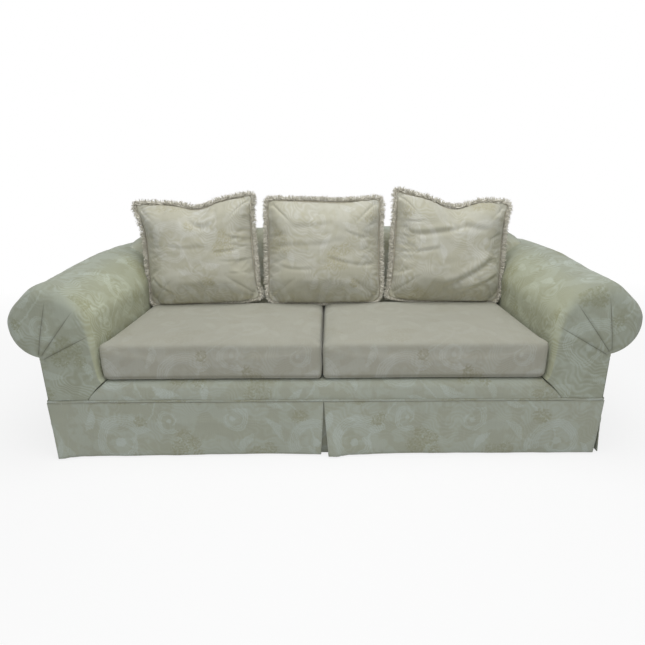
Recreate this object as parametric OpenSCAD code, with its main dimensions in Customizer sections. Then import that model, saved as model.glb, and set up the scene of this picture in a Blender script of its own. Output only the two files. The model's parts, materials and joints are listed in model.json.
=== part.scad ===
// A skirted roll-arm sofa with two boxed seat cushions and three loose fringed back pillows.
// +X is the photograph's right, the front faces -Y, and Z = 0 is the floor.

/* [Base frame] */
// Width across the outside arm panels
base_w = 2174; // [2000:2:2400]
// Depth from the arm fronts to the rear panel
body_d = 970; // [920:2:1040]
// Width of the seat between the arms
seat_w = 1706; // [1560:2:1800]
// Height of the rails' underside above the floor
rail_foot_z = 115; // [90:1:140]
// Height of the rails' upper edge
rail_top_z = 270; // [255:1:285]
// Thickness of the rails
rail_t = 28; // [20:1:36]
// Setback of the rails behind the upholstered faces
rail_setback = 12; // [10:1:16]
// Width of the centre brace
brace_w = 60; // [40:1:90]
// Length of a corner block along each rail
block_leg = 110; // [90:1:140]
// Height of the corner blocks
block_h = 50; // [35:1:70]

/* [Legs] */
// Radius of a leg where it meets the frame
leg_top_r = 26; // [20:1:32]
// Radius of a leg at its foot
leg_foot_r = 19; // [14:1:24]
// Distance of the corner legs from the side faces
leg_side_inset = 77; // [70:1:90]
// Distance of all legs from the front and rear faces
leg_end_inset = 75; // [70:1:90]
// Thickness of the glide under each leg
glide_t = 4; // [2:0.5:6]
// Radius of a glide
glide_r = 13; // [9:0.5:16]
// Radius of a leg bolt
bolt_r = 4; // [3:0.5:5]
// Length of a leg bolt
bolt_l = 96; // [80:1:110]

/* [Suspension] */
// Number of seat springs
spring_count = 12; // [8:1:16]
// Distance between two seat springs
spring_pitch = 136; // [90:1:150]
// Width of a seat spring's loops
spring_loop_w = 50; // [36:1:60]
// Length of one half loop along the spring
spring_half = 36; // [28:1:50]
// Thickness of the spring wire
wire_t = 4; // [3:0.5:5]
// Width of a spring clip
clip_w = 22; // [16:1:30]
// Thickness of the burlap over the springs
burlap_t = 2; // [1:0.5:3]
// Width of a back webbing strap
strap_w = 50; // [40:1:70]
// Number of back webbing straps
strap_count = 9; // [5:1:12]
// Thickness of the webbing
strap_t = 2.5; // [1.5:0.5:4]

/* [Lip] */
// Height of the padded lip under the cushions
lip_top_z = 320; // [310:1:335]
// Radius of the lip's nose
lip_nose_r = 34; // [20:1:45]
// Depth of the lip from front to rear
lip_d = 75; // [60:1:100]
// How far each end of the lip spreads outwards at its foot
lip_flare = 73; // [40:1:90]

/* [Arms] */
// How far a roll overhangs the outside arm panel
roll_over = 125; // [90:1:150]
// Height of the roll's widest line
roll_mid_z = 545; // [520:1:570]
// Height of the pinch under the roll
pinch_z = 418; // [400:1:440]
// Height of the arm near its front
arm_front_z = 703; // [670:1:720]
// Height of the arm where it meets the back
arm_rear_z = 745; // [725:1:760]
// Height at which the inside arm starts to curve over
arm_spring_z = 480; // [460:1:500]
// Distance from the inside arm to the crest of the roll
crest_in = 195; // [160:1:220]
// Radius of the rounded front end
arm_round = 65; // [40:1:80]
// Thickness of an arm post
post_t = 25; // [18:1:30]
// Radius of an arm post's round head
post_head_r = 84; // [60:1:88]
// Padding over the arm frame on the seat side
arm_pad_t = 64; // [60:1:75]
// Height of the arm board's top
arm_board_z = 575; // [550:1:590]
// Thickness of the arm board
arm_board_t = 20; // [16:1:28]
// Distance from the arm front to the rear arm stud
arm_stud_y = 630; // [560:1:640]
// Thickness of the cardboard arm liner
liner_t = 3; // [2:0.5:5]

/* [Back] */
// Width of the back
back_w = 2060; // [1960:2:2100]
// Height of the back's top
back_top_z = 816; // [790:1:850]
// Distance from the arm fronts to the inside back at the lip's height
back_foot_y = 652; // [645:1:680]
// Lean of the inside back, in degrees
back_lean = 16; // [12:0.5:19]
// Radius of the back's upper corners
back_corner_r = 55; // [30:1:70]
// Thickness of the padding on the inside back
back_pad_t = 60; // [40:1:75]
// Thickness of the back posts
back_post_t = 24; // [18:1:30]
// Thickness of the back's rails and stiles
back_rail_t = 35; // [25:1:45]
// Height of a back rail on its slanted face
back_rail_h = 44; // [36:1:60]
// Distance of the two stiles from the middle
stile_x = 335; // [250:1:450]
// Width of a stile
stile_w = 45; // [30:1:60]

/* [Covers and skirt] */
// Thickness of the upholstery cloth
cloth_t = 3; // [2:0.5:4]
// Height of the seam at the skirt's top
seam_z = 236; // [225:1:245]
// Height of the flat band above the seam
band_h = 10; // [6:1:16]
// Height of the hem above the floor
hem_z = 6; // [3:1:25]
// Depth of each pleat's folded return
pleat_d = 60; // [40:1:90]
// Clearance between neighbouring soft pieces
ease = 0.3; // [0.2:0.05:0.5]

/* [Seat cushions] */
// Distance from the arm fronts to the cushion fronts
cushion_front_y = 12; // [6:1:30]
// Depth of a seat cushion
cushion_d = 636; // [600:1:640]
// Height of a seat cushion at its edges
cushion_h = 141; // [120:1:160]
// Rise of the crown above the edges
cushion_crown = 19; // [8:1:30]
// Radius of a cushion's corners in plan
cushion_corner_r = 30; // [22:1:50]
// How far the front and sides draw in between the corners
cushion_draw = 4; // [1:0.5:8]
// How far the boxing bulges at half height
cushion_bulge = 2; // [0:0.5:3]
// Length of a cushion's zip
zip_l = 600; // [400:10:700]
// Width of the zip tape
zip_w = 26; // [18:1:34]
// Length of a zip slider
slider_l = 14; // [10:1:20]

/* [Back pillows] */
// Width of a pillow between its seams
pillow_w = 530; // [480:2:540]
// Height of a pillow between its seams
pillow_h = 484; // [440:2:500]
// Thickness of a pillow
pillow_t = 200; // [150:2:220]
// How far the edges draw in between the corners
pillow_draw = 16; // [6:1:26]
// How far the filling settles below the middle
pillow_settle = 50; // [0:1:70]
// Width of the fringe
fringe_w = 24; // [14:1:30]
// Thickness of the fringe
fringe_t = 14; // [8:1:20]
// Distance of the outer pillows from the middle
pillow_x = 600; // [596:1:604]
// Turn of the outer pillows in their own plane, in degrees
pillow_turn = 4; // [0:0.5:5]
// Height of a pillow's lower edge above the edges of the seat cushions
pillow_lift = 8; // [7:1:30]

/* [Hidden] */

// The main planes, all worked out from the driving sizes
front_y = -body_d / 2;
rear_y = body_d / 2;
half_w = base_w / 2;
in_x = seat_w / 2;
trunk_x = half_w - cloth_t - ease;
roll_x = half_w + roll_over;
crest_x = in_x + crest_in;
shell_rear_y = rear_y - cloth_t - ease;
foot_y = front_y + back_foot_y;
rail_front_y = front_y + rail_setback;
rail_rear_y = shell_rear_y - rail_setback + cloth_t;
side_rail_x = trunk_x - rail_setback + cloth_t;
inner_rail_x = side_rail_x - rail_t;
band_t = cloth_t + 1;
fold_gap = 0.5;

// A size past every edge of the sofa, heights below and above every slanted cut, and a round's sides
big = 3000;
low_z = 200;
high_z = 900;
fine = 48;

// Heights of the layers of the seat deck
wire_z = rail_top_z + 1;
clip_top_z = wire_z + wire_t + 2;
burlap_z = clip_top_z + ease;
deck_pad_z = burlap_z + burlap_t + ease;
deck_top_z = lip_top_z - 4;
cushion_z = lip_top_z + ease;
back_foot_z = deck_pad_z + 20;

// A point of the inside back's plane, and the centre and radius of the roll along its top
function slope_y(z) = foot_y + (z - lip_top_z) * tan(back_lean);
back_roll_r = ((shell_rear_y - foot_y) * cos(back_lean) - (back_top_z - lip_top_z) * sin(back_lean))
              / (1 + cos(back_lean) - sin(back_lean));
back_roll_y = shell_rear_y - back_roll_r;
back_roll_z = back_top_z - back_roll_r;
function frame_y(z) = slope_y(z) + (back_pad_t + strap_t + 2 * ease) / cos(back_lean);
back_frame_top_z = back_roll_z + 6;

// Solid skinned over a list of rings, closed by a fan at each end
module skin(rings, first, last) {
  n = len(rings[0]);
  m = len(rings);
  points = concat([first], [for (r = rings) each r], [last]);
  faces = concat(
    [for (j = [0:n - 1]) [0, 1 + j, 1 + (j + 1) % n]],
    [for (i = [0:m - 2], j = [0:n - 1]) each [
      [1 + i * n + j, 1 + (i + 1) * n + (j + 1) % n, 1 + i * n + (j + 1) % n],
      [1 + i * n + j, 1 + (i + 1) * n + j, 1 + (i + 1) * n + (j + 1) % n]]],
    [for (j = [0:n - 1]) [1 + m * n, 1 + (m - 1) * n + (j + 1) % n, 1 + (m - 1) * n + j]]);
  polyhedron(points, faces, convexity = 6);
}

function smooth(t) = let (s = max(0, min(1, t))) s * s * (3 - 2 * s);
function mean(pts) = [for (k = [0:2]) [for (p = pts) p[k]] * [for (p = pts) 1] / len(pts)];
function reversed(v) = [for (i = [len(v) - 1:-1:0]) v[i]];

module mirrored() {
  children();
  mirror([1, 0, 0]) children();
}

// Box between two corners
module block(a, b) translate(a) cube(b - a);

// Base frame

module front_rail()
  color("burlywood")
  block([-inner_rail_x, rail_front_y, rail_foot_z], [inner_rail_x, rail_front_y + rail_t, rail_top_z]);

module back_rail()
  color("burlywood")
  block([-inner_rail_x, rail_rear_y - rail_t, rail_foot_z], [inner_rail_x, rail_rear_y, rail_top_z]);

module side_rails()
  color("burlywood")
  mirrored() block([inner_rail_x, rail_front_y, rail_foot_z], [side_rail_x, rail_rear_y, rail_top_z]);

leg_front_y = front_y + leg_end_inset;
leg_rear_y = rear_y - leg_end_inset;
leg_x = half_w - leg_side_inset;
leg_spots = [for (x = [-leg_x, 0, leg_x], y = [leg_front_y, leg_rear_y]) [x, y, 0]];
dust_t = 2;
leg_top_z = rail_foot_z - dust_t - 2 * ease;
bolt_foot_z = leg_top_z - bolt_l / 2;

module bolt_holes() {
  for (p = leg_spots) translate([p.x, p.y, bolt_foot_z - ease])
    cylinder(r = bolt_r + ease, h = bolt_l + 2 * ease, $fn = fine);
}

module centre_brace()
  color("burlywood")
  difference() {
    block([-brace_w / 2, rail_front_y + rail_t, rail_foot_z], [brace_w / 2, rail_rear_y - rail_t, seam_z]);
    bolt_holes();
  }

module corner_block(x, y, sx, sy)
  translate([x, y, rail_foot_z]) linear_extrude(block_h)
  polygon([[0, 0], [-sx * block_leg, 0], [0, sy * block_leg]]);

module corner_blocks()
  color("tan")
  difference() {
    for (s = [-1, 1]) {
      corner_block(s * inner_rail_x, rail_front_y + rail_t, s, 1);
      corner_block(s * inner_rail_x, rail_rear_y - rail_t, s, -1);
    }
    bolt_holes();
  }

module legs()
  color("saddlebrown")
  difference() {
    for (p = leg_spots) translate([p.x, p.y, glide_t])
      cylinder(r1 = leg_foot_r, r2 = leg_top_r, h = leg_top_z - glide_t, $fn = fine);
    bolt_holes();
  }

module leg_bolts()
  color("silver")
  for (p = leg_spots) translate([p.x, p.y, bolt_foot_z])
    cylinder(r = bolt_r, h = bolt_l, $fn = fine);

module glides()
  color("dimgray")
  for (p = leg_spots) translate(p) cylinder(r = glide_r, h = glide_t, $fn = fine);

module dust_cover()
  color("black")
  difference() {
    block([-side_rail_x, rail_front_y, rail_foot_z - dust_t - ease],
          [side_rail_x, rail_rear_y, rail_foot_z - ease]);
    bolt_holes();
  }

// Arms: a section is drawn in x and z, drawn in by d all over and by e where the front end rounds off

function arm_weight(t) = t > 90 ? 1 - 0.65 * (t - 90) / 90 : t > 0 ? 1 : 1 + 0.85 * t / 90;

function arm_arc(t, top, d, e) =
  let (in = d + e * arm_weight(t),
       c = t > 90 ? [crest_x, arm_spring_z] : t > 0 ? [crest_x, roll_mid_z] : [trunk_x, roll_mid_z],
       a = t > 90 ? crest_in : roll_x - c.x,
       b = t > 90 ? top - arm_spring_z : t > 0 ? top - roll_mid_z : roll_mid_z - pinch_z)
  [c.x + (a - in) * cos(t), c.y + (b - in) * sin(t)];

function arm_section(top, d, e) =
  let (x0 = in_x + d + 0.35 * e, x1 = trunk_x - d - 0.15 * e)
  concat([[x0 + lip_flare, seam_z - 1], [x0 + lip_flare, seam_z + band_h], [x0, lip_top_z]],
         [for (t = [180:-18:-90]) arm_arc(t, top, d, e)],
         [[x1, pinch_z - 8], [x1, seam_z - 1]]);

function arm_top(y) = arm_front_z + (arm_rear_z - arm_front_z) * smooth((y - 300) / 450);

// Distances from the arm front, each with the angle that it has round the rounded end
arm_turns = [0, 25, 50, 90];
arm_reaches = [200, 380, 500, 620, 740];

function arm_rings(d, rear) = concat(
  [for (a = arm_turns)
    let (y = arm_round * (1 - cos(a)) + d * cos(a), e = (arm_round - d) * (1 - sin(a)))
    [for (p = arm_section(arm_front_z, d, e)) [p.x, front_y + y, p.y]]],
  [for (y = concat(arm_reaches, [rear - front_y]))
    [for (p = arm_section(arm_top(y), d, 0)) [p.x, front_y + y, p.y]]]);

// A point inside every arm section, in x and z
arm_hub = [trunk_x - 75, 470];

module arm_form(d, rear)
  skin(arm_rings(d, rear), [arm_hub.x, front_y + d, arm_hub.y], [arm_hub.x, rear, arm_hub.y]);

// Space that the base and the back take out of an arm
module arm_cutter() {
  block([0, front_y - 10, 0], [big, rear_y + 10, seam_z]);
  block([0, rail_front_y - ease, seam_z - 2], [side_rail_x + ease, rear_y + 10, rail_top_z + ease]);
  translate([back_w / 2 + ease, 0, 0]) rotate([90, 0, -90]) linear_extrude(back_w / 2)
    polygon([[-slope_y(low_z) + ease, low_z], [-slope_y(high_z) + ease, high_z],
             [-rear_y - 10, high_z], [-rear_y - 10, low_z]]);
}

// Hollow of the arm's padding, and the centre of the post's round head in x and z
outer_pad_t = 21;
board_overhang = 8;
arm_hollow_x0 = in_x + arm_pad_t;
arm_hollow_x1 = trunk_x - outer_pad_t;
arm_hollow_rear_y = front_y + arm_stud_y + rail_t + board_overhang;
post_head = [trunk_x - 10, 557];

// How far an arm stud stands in over the side rail, and the liner stops short of the back
stud_inset = 14;
liner_gap = 20;

module arm_cover_right()
  color("beige")
  difference() {
    arm_form(0, shell_rear_y);
    arm_form(cloth_t, shell_rear_y - cloth_t);
    arm_cutter();
  }

module arm_pad_right()
  color("whitesmoke")
  difference() {
    arm_form(cloth_t + ease, shell_rear_y - cloth_t - ease);
    arm_cutter();
    block([arm_hollow_x0, rail_front_y - ease, 0], [arm_hollow_x1, arm_hollow_rear_y, arm_board_z + ease]);
    translate([post_head.x, rail_front_y + post_t + ease, post_head.y]) rotate([90, 0, 0])
      cylinder(r = post_head_r + ease, h = post_t + 2 * ease, $fn = fine);
  }

module arm_cover_left() mirror([1, 0, 0]) arm_cover_right();
module arm_pad_left() mirror([1, 0, 0]) arm_pad_right();

module arm_posts()
  color("burlywood")
  mirrored() {
    translate([0, rail_front_y + post_t, 0]) rotate([90, 0, 0]) linear_extrude(post_t) union() {
      translate([arm_hollow_x0 + ease, rail_top_z])
        square([arm_hollow_x1 - arm_hollow_x0 - 2 * ease, arm_board_z - rail_top_z]);
      translate(post_head) circle(r = post_head_r, $fn = 96);
    }
    block([inner_rail_x - stud_inset, front_y + arm_stud_y, rail_top_z],
          [arm_hollow_x1 - ease, front_y + arm_stud_y + rail_t, arm_board_z - arm_board_t]);
  }

module arm_boards()
  color("burlywood")
  mirrored() block([arm_hollow_x0 + ease, rail_front_y + post_t, arm_board_z - arm_board_t],
                   [arm_hollow_x1 - ease, arm_hollow_rear_y - ease, arm_board_z]);

module arm_liners()
  color("peru")
  mirrored() block([arm_hollow_x0 + ease, rail_front_y + post_t, rail_top_z + 2 * ease],
                   [arm_hollow_x0 + ease + liner_t, foot_y - liner_gap, arm_board_z - arm_board_t]);

// The outside panels stop this far below the pinch, and behind the arm's front
panel_drop = 10;
panel_setback = 4;

module outside_arm_right()
  color("beige")
  block([trunk_x + ease, front_y + panel_setback, seam_z], [half_w, shell_rear_y, pinch_z - panel_drop]);

module outside_arm_left() mirror([1, 0, 0]) outside_arm_right();

// Back: a section is drawn in y and z, and its upper corners round off by e

function back_section(d, e) = concat(
  [[slope_y(back_foot_z - 1) + d / cos(back_lean), back_foot_z - 1]],
  [for (i = [0:9]) let (t = (180 - back_lean) * (1 - i / 9), r = back_roll_r - d)
    [back_roll_y + r * cos(t), back_roll_z + r * sin(t) - e * sin(t)]],
  [[shell_rear_y - d, back_foot_z - 1]]);

back_turns = [0, 30, 60, 90];

function back_ring(x, d, e) = [for (p = back_section(d, e)) [x, p.x, p.y]];

function back_rings(d) =
  let (w = back_w / 2 - d,
       half = [for (a = back_turns) [w - back_corner_r * (1 - cos(a)), back_corner_r * (1 - sin(a))]])
  concat([for (h = half) back_ring(h.x, d, h.y)], [for (h = reversed(half)) back_ring(-h.x, d, h.y)]);

module back_form(d) {
  rings = back_rings(d);
  skin(rings, mean(rings[0]), mean(rings[len(rings) - 1]));
}

module below_back() block([-big, foot_y - 200, 0], [big, rear_y + 10, back_foot_z]);

module inside_back_cover()
  color("tan")
  difference() {
    back_form(0);
    back_form(cloth_t);
    below_back();
  }

// Half the width of the frame inside the back's padding
side_pad_t = 8;
back_hollow_x = back_w / 2 - cloth_t - side_pad_t;

module back_slant(z0, z1, depth, x0, x1)
  translate([x1, 0, 0]) rotate([90, 0, -90]) linear_extrude(x1 - x0)
  polygon([[-frame_y(z0), z0], [-frame_y(z1), z1], [-frame_y(z1) - depth, z1], [-frame_y(z0) - depth, z0]]);

module back_pad()
  color("whitesmoke")
  difference() {
    back_form(cloth_t + ease);
    below_back();
    translate([back_hollow_x, 0, 0]) rotate([90, 0, -90]) linear_extrude(2 * back_hollow_x)
      let (s = (strap_t + 2 * ease) / cos(back_lean))
      polygon([[-frame_y(low_z) + s, low_z], [-frame_y(back_frame_top_z) + s, back_frame_top_z + ease],
               [-rail_rear_y - ease, back_frame_top_z + ease], [-rail_rear_y - ease, low_z]]);
  }

module back_posts()
  color("burlywood")
  mirrored()
    translate([back_hollow_x - ease, 0, 0]) rotate([90, 0, -90]) linear_extrude(back_post_t)
    polygon([[-frame_y(rail_top_z), rail_top_z], [-frame_y(back_frame_top_z), back_frame_top_z],
             [-rail_rear_y, back_frame_top_z], [-rail_rear_y, rail_top_z]]);

rail_reach = back_hollow_x - ease - back_post_t;
top_rail_z = back_frame_top_z - back_rail_h;
tack_rail_z = back_foot_z + 6;

module back_top_rail()
  color("burlywood")
  back_slant(top_rail_z, back_frame_top_z, back_rail_t, -rail_reach, rail_reach);

module back_tack_rail()
  color("burlywood")
  back_slant(tack_rail_z, tack_rail_z + back_rail_h, back_rail_t, -rail_reach, rail_reach);

module back_stiles()
  color("burlywood")
  for (x = [-stile_x, stile_x])
    back_slant(tack_rail_z + back_rail_h, top_rail_z, back_rail_t, x - stile_w / 2, x + stile_w / 2);

module back_webbing()
  color("saddlebrown")
  for (i = [0:strap_count - 1])
    let (x = (i - (strap_count - 1) / 2) * 2 * rail_reach / strap_count,
         s = (strap_t + ease) / cos(back_lean))
    translate([0, -s, 0])
    translate([x + strap_w / 2, 0, 0]) rotate([90, 0, -90]) linear_extrude(strap_w)
    let (z0 = tack_rail_z, z1 = back_frame_top_z - 4, t = strap_t / cos(back_lean))
    polygon([[-frame_y(z0), z0], [-frame_y(z1), z1], [-frame_y(z1) - t, z1], [-frame_y(z0) - t, z0]]);

module outside_back()
  color("beige")
  translate([0, rear_y, 0]) rotate([90, 0, 0]) linear_extrude(cloth_t) union() {
    translate([-trunk_x, seam_z]) square([2 * trunk_x, pinch_z - panel_drop - seam_z]);
    translate([-back_w / 2, seam_z]) square([back_w, back_roll_z - seam_z]);
  }

// Seat deck and lip

seat_half = in_x - 1;
spring_front_y = rail_front_y + rail_t / 2;
spring_rear_y = rail_rear_y - rail_t / 2;
spring_turns = 2 * floor((spring_rear_y - spring_front_y - 2 * clip_w) / spring_half / 2);
spring_lead = (spring_rear_y - spring_front_y - spring_turns * spring_half) / 2;
spring_l = 2 * spring_lead + spring_turns * spring_half;
spring_xs = [for (i = [0:spring_count - 1]) (i - (spring_count - 1) / 2) * spring_pitch];

// Centre line of one sinuous spring: a straight lead, square loops with cut corners, a straight lead
function spring_path() =
  let (w = spring_loop_w / 2, c = spring_half / 3)
  concat([[0, 0], [0, spring_lead - c], [c - w, spring_lead]],
         [for (k = [0:spring_turns - 1])
           let (s = k % 2 == 0 ? 1 : -1, y = spring_lead + k * spring_half)
           each [[-s * w, y + c], [-s * (w - c), y + 1.5 * c],
                 [s * (w - c), y + 2.2 * c], [s * w, y + 2.7 * c]]],
         [[w - c, spring_l - spring_lead], [0, spring_l - spring_lead + c], [0, spring_l]]);

// Outline of a strip of even width along a path
function unit(v) = v / norm(v);
function strip(path, w) =
  let (n = len(path) - 1,
       side = [for (i = [0:n])
         let (a = unit(path[min(i + 1, n)] - path[min(i, n - 1)]),
              b = unit(path[max(i, 1)] - path[max(i - 1, 0)]),
              m = unit(a + b))
         [-m.y, m.x] / max(0.7, m * a)])
  concat([for (i = [0:n]) path[i] + side[i] * w / 2], [for (i = [n:-1:0]) path[i] - side[i] * w / 2]);

module seat_springs()
  color("silver")
  for (x = spring_xs) translate([x, spring_front_y, wire_z]) linear_extrude(wire_t)
    polygon(strip(spring_path(), wire_t));

module spring_clips()
  color("gray")
  for (x = spring_xs, y = [spring_front_y, spring_rear_y])
    difference() {
      block([x - clip_w / 2, y - rail_t / 2 + 2, rail_top_z],
            [x + clip_w / 2, y + rail_t / 2 - 2, clip_top_z]);
      block([x - wire_t / 2 - ease, y - rail_t, wire_z - ease],
            [x + wire_t / 2 + ease, y + rail_t, wire_z + wire_t + ease]);
    }

module seat_burlap()
  color("peru")
  block([-seat_half, spring_front_y, burlap_z], [seat_half, spring_rear_y, burlap_z + burlap_t]);

module deck_pad()
  color("whitesmoke")
  block([-seat_half, front_y + lip_d + ease, deck_pad_z],
        [seat_half, slope_y(deck_pad_z) - ease, deck_top_z - cloth_t - ease]);

module deck_cover()
  color("gainsboro")
  block([-seat_half, front_y + lip_d + ease, deck_top_z - cloth_t],
        [seat_half, slope_y(deck_top_z - cloth_t) - ease, deck_top_z]);

// Path of the lip's outer face in y and z, drawn in by d
function lip_path(d) = concat(
  [[d, seam_z]],
  [for (a = [180:-15:90])
    [lip_nose_r + (lip_nose_r - d) * cos(a), lip_top_z - lip_nose_r + (lip_nose_r - d) * sin(a)]],
  [[lip_d, lip_top_z - d]]);

module lip_prism(outline)
  intersection() {
    translate([big / 2, front_y, 0]) rotate([90, 0, 90]) mirror([0, 0, 1])
      linear_extrude(big) polygon(outline);
    rotate([90, 0, 0]) linear_extrude(big, center = true)
      let (x = in_x - ease, foot = x + lip_flare, z = seam_z + band_h)
      polygon([[-foot, seam_z], [-foot, z], [-x, lip_top_z], [-x, lip_top_z + 1],
               [x, lip_top_z + 1], [x, lip_top_z], [foot, z], [foot, seam_z]]);
  }

module lip_cover()
  color("beige")
  lip_prism(concat(lip_path(0), reversed(lip_path(cloth_t))));

module lip_pad()
  color("whitesmoke")
  lip_prism(concat(lip_path(cloth_t + ease),
                   [[lip_d, burlap_z + burlap_t + ease], [rail_setback - ease, burlap_z + burlap_t + ease],
                    [rail_setback - ease, seam_z]]));

// Skirt: tailored panels whose ends fold back into inverted pleats

skirt_top_z = seam_z - ease;
skirt_x = half_w + band_t;
skirt_front_y = front_y - band_t;
skirt_rear_y = rear_y + band_t;
layer = cloth_t + fold_gap;

module hang() translate([0, 0, hem_z]) linear_extrude(skirt_top_z - hem_z) children();

// Strip from 0 to l along x, its face at y = 0, with a return of length pleat_d behind each end
module skirt_strip(l)
  union() {
    square([l, cloth_t]);
    for (x = [0, l - pleat_d]) translate([x, layer]) square([pleat_d, cloth_t]);
    for (x = [0, l - cloth_t]) translate([x, 0]) square([cloth_t, layer + cloth_t]);
  }

module skirt_front_right()
  color("beige")
  hang() translate([fold_gap, skirt_front_y]) skirt_strip(skirt_x - fold_gap);

module skirt_front_left() mirror([1, 0, 0]) skirt_front_right();

module skirt_back()
  color("beige")
  hang() translate([-skirt_x, skirt_rear_y]) mirror([0, 1]) skirt_strip(2 * skirt_x);

side_skirt_y0 = skirt_front_y + layer + cloth_t + fold_gap;
side_skirt_y1 = skirt_rear_y - layer - cloth_t - fold_gap;

module skirt_right()
  color("beige")
  hang() translate([skirt_x, side_skirt_y0]) rotate(90) skirt_strip(side_skirt_y1 - side_skirt_y0);

module skirt_left() mirror([1, 0, 0]) skirt_right();

pleat_reach = pleat_d + 8;

module skirt_pleats()
  color("darkkhaki")
  hang() {
    translate([-pleat_reach, skirt_front_y + 2 * layer]) square([2 * pleat_reach, cloth_t]);
    mirrored() for (s = [0, 1]) {
      y = s == 0 ? side_skirt_y0 : side_skirt_y1;
      translate([skirt_x - 2 * layer - cloth_t, y]) mirror([0, s]) union() {
        square([cloth_t, pleat_reach]);
        translate([cloth_t - pleat_reach, 0]) square([pleat_reach, cloth_t]);
      }
    }
  }

module skirt_band()
  color("ivory")
  translate([0, 0, seam_z]) linear_extrude(band_h) difference() {
    square([2 * skirt_x, 2 * skirt_rear_y], center = true);
    square([2 * half_w, body_d], center = true);
  }

// Seat cushions

cushion_hx = (in_x - 3 * ease) / 2 - cushion_bulge;
cushion_hy = cushion_d / 2 - cushion_bulge;
cushion_x = in_x / 2;
cushion_y = front_y + cushion_front_y + cushion_d / 2;

// Rounded rectangle with drawn-in sides: four points round each corner and three along each side
function plan(hx, hy, r, draw, in) =
  let (rr = max(6, r - in), cx = hx - in - rr, cy = hy - in - rr,
       quarter = [for (i = [0:3]) [cx + rr * cos(30 * i), cy + rr * sin(30 * i)]],
       top = [for (t = [0.5, 0, -0.5]) [t * cx, hy - in - draw * (1 - t * t)]],
       left = [for (t = [0.5, 0, -0.5]) [-(hx - in - draw * (1 - t * t)), t * cy]])
  concat(quarter, top, [for (i = [3:-1:0]) [-quarter[i].x, quarter[i].y]],
         left, [for (p = quarter) -p], [for (p = top) -p],
         [for (i = [3:-1:0]) [quarter[i].x, -quarter[i].y]], [for (p = left) -p]);

// Each ring of a seat cushion: its inset, its share of the edge height, and its share of the plan
cushion_levels = [[13, 0, 1], [3, 0.05, 1], [0, 0.2, 1], [-1, 0.5, 1], [0, 0.82, 1], [4, 0.95, 1], [14, 1, 1],
                  [14, 1, 0.8], [14, 1, 0.45]];

function cushion_rings(d) =
  let (h = cushion_h - 2 * d)
  [for (l = cushion_levels)
    let (in = (l[0] < 0 ? l[0] * cushion_bulge : l[0]) + d,
         z = d + l[1] * h + cushion_crown * (1 - l[2] * l[2]))
    [for (p = plan(cushion_hx, cushion_hy, cushion_corner_r, cushion_draw, in)) [p.x * l[2], p.y * l[2], z]]];

module cushion_form(d)
  skin(cushion_rings(d), [0, 0, d], [0, 0, cushion_h - d + cushion_crown]);

module at_cushion(side) translate([side * cushion_x, cushion_y, cushion_z]) children();

module seat_cover(side)
  color("beige")
  at_cushion(side) difference() {
    cushion_form(0);
    cushion_form(cloth_t);
  }

module seat_foam(side) color("lemonchiffon") at_cushion(side) cushion_form(cloth_t + ease);

module seat_cover_left() seat_cover(-1);
module seat_cover_right() seat_cover(1);
module seat_foam_left() seat_foam(-1);
module seat_foam_right() seat_foam(1);

// Zip on the rear boxing, and its slider, which starts at the zip's closed end
zip_t = 1.6;
slider_t = 4;
slider_h = 10;
zip_edge = zip_l / 2 / (cushion_hx - cushion_corner_r);
zip_y = cushion_hy + cushion_bulge + ease - 1.5 * cushion_draw * (1 - zip_edge);
zip_z = cushion_h / 2;
slider_play = 8;
zip_travel = zip_l - slider_l - 2 * slider_play;

module zip(side)
  color("dimgray")
  at_cushion(side) block([-zip_l / 2, zip_y, zip_z - zip_w / 2],
                         [zip_l / 2, zip_y + zip_t, zip_z + zip_w / 2]);

module zip_slider(side)
  color("silver")
  at_cushion(side)
    translate([-zip_l / 2 + slider_play, zip_y + zip_t + ease, zip_z - slider_h / 2])
    cube([slider_l, slider_t, slider_h]);

module zip_left() zip(-1);
module zip_right() zip(1);
module zip_slider_left() zip_slider(-1);
module zip_slider_right() zip_slider(1);

// Back pillows: local x across, local y up the pillow, local z through it

pillow_hx = pillow_w / 2;
pillow_hy = pillow_h / 2;
pillow_corner_r = 26;
pillow_half_t = pillow_t / 2;

// How far each ring shrinks towards the settled middle, and its share of the half thickness
pillow_levels = [[1, 0.035], [0.93, 0.3], [0.82, 0.56], [0.62, 0.82], [0.32, 0.97]];

// How each pillow's corners are pulled, as [across, up]: lower left, lower right, upper left, upper right
corner_pulls = [[[23, 14], [4, 0], [-22, 2], [4, 20]],
                [[0, 2], [4, 0], [-2, 4], [6, 10]],
                [[-4, 0], [-23, 14], [-4, 22], [20, 2]]];

function pillow_outline(k, in, d) =
  [for (p = plan(pillow_hx + in, pillow_hy + in, pillow_corner_r + in, pillow_draw, d))
    let (pull = corner_pulls[k][(p.y > 0 ? 2 : 0) + (p.x > 0 ? 1 : 0)],
         share = pow(abs(p.x / pillow_hx * p.y / pillow_hy), 3))
    [p.x, p.y] + share * pull];

function pillow_side(k, d, side) =
  [for (l = pillow_levels)
    [for (p = pillow_outline(k, 0, d))
      [p.x * l[0], (p.y + pillow_settle) * l[0] - pillow_settle,
       side * l[1] * (pillow_half_t - d)]]];

module pillow_form(k, d) {
  rings = concat(reversed(pillow_side(k, d, -1)), pillow_side(k, d, 1));
  skin(rings, [0, -pillow_settle, d - pillow_half_t], [0, -pillow_settle, pillow_half_t - d]);
}

// Height of the pillows' middle along the inside back, above the lip's level
pillow_up = (cushion_z + cushion_h + pillow_lift - lip_top_z
             - (pillow_half_t + 2 * ease) * sin(back_lean)) / cos(back_lean) + pillow_hy + fringe_w;
pillow_spots = [[-pillow_x, 1], [0, 0], [pillow_x, -1]];

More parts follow.
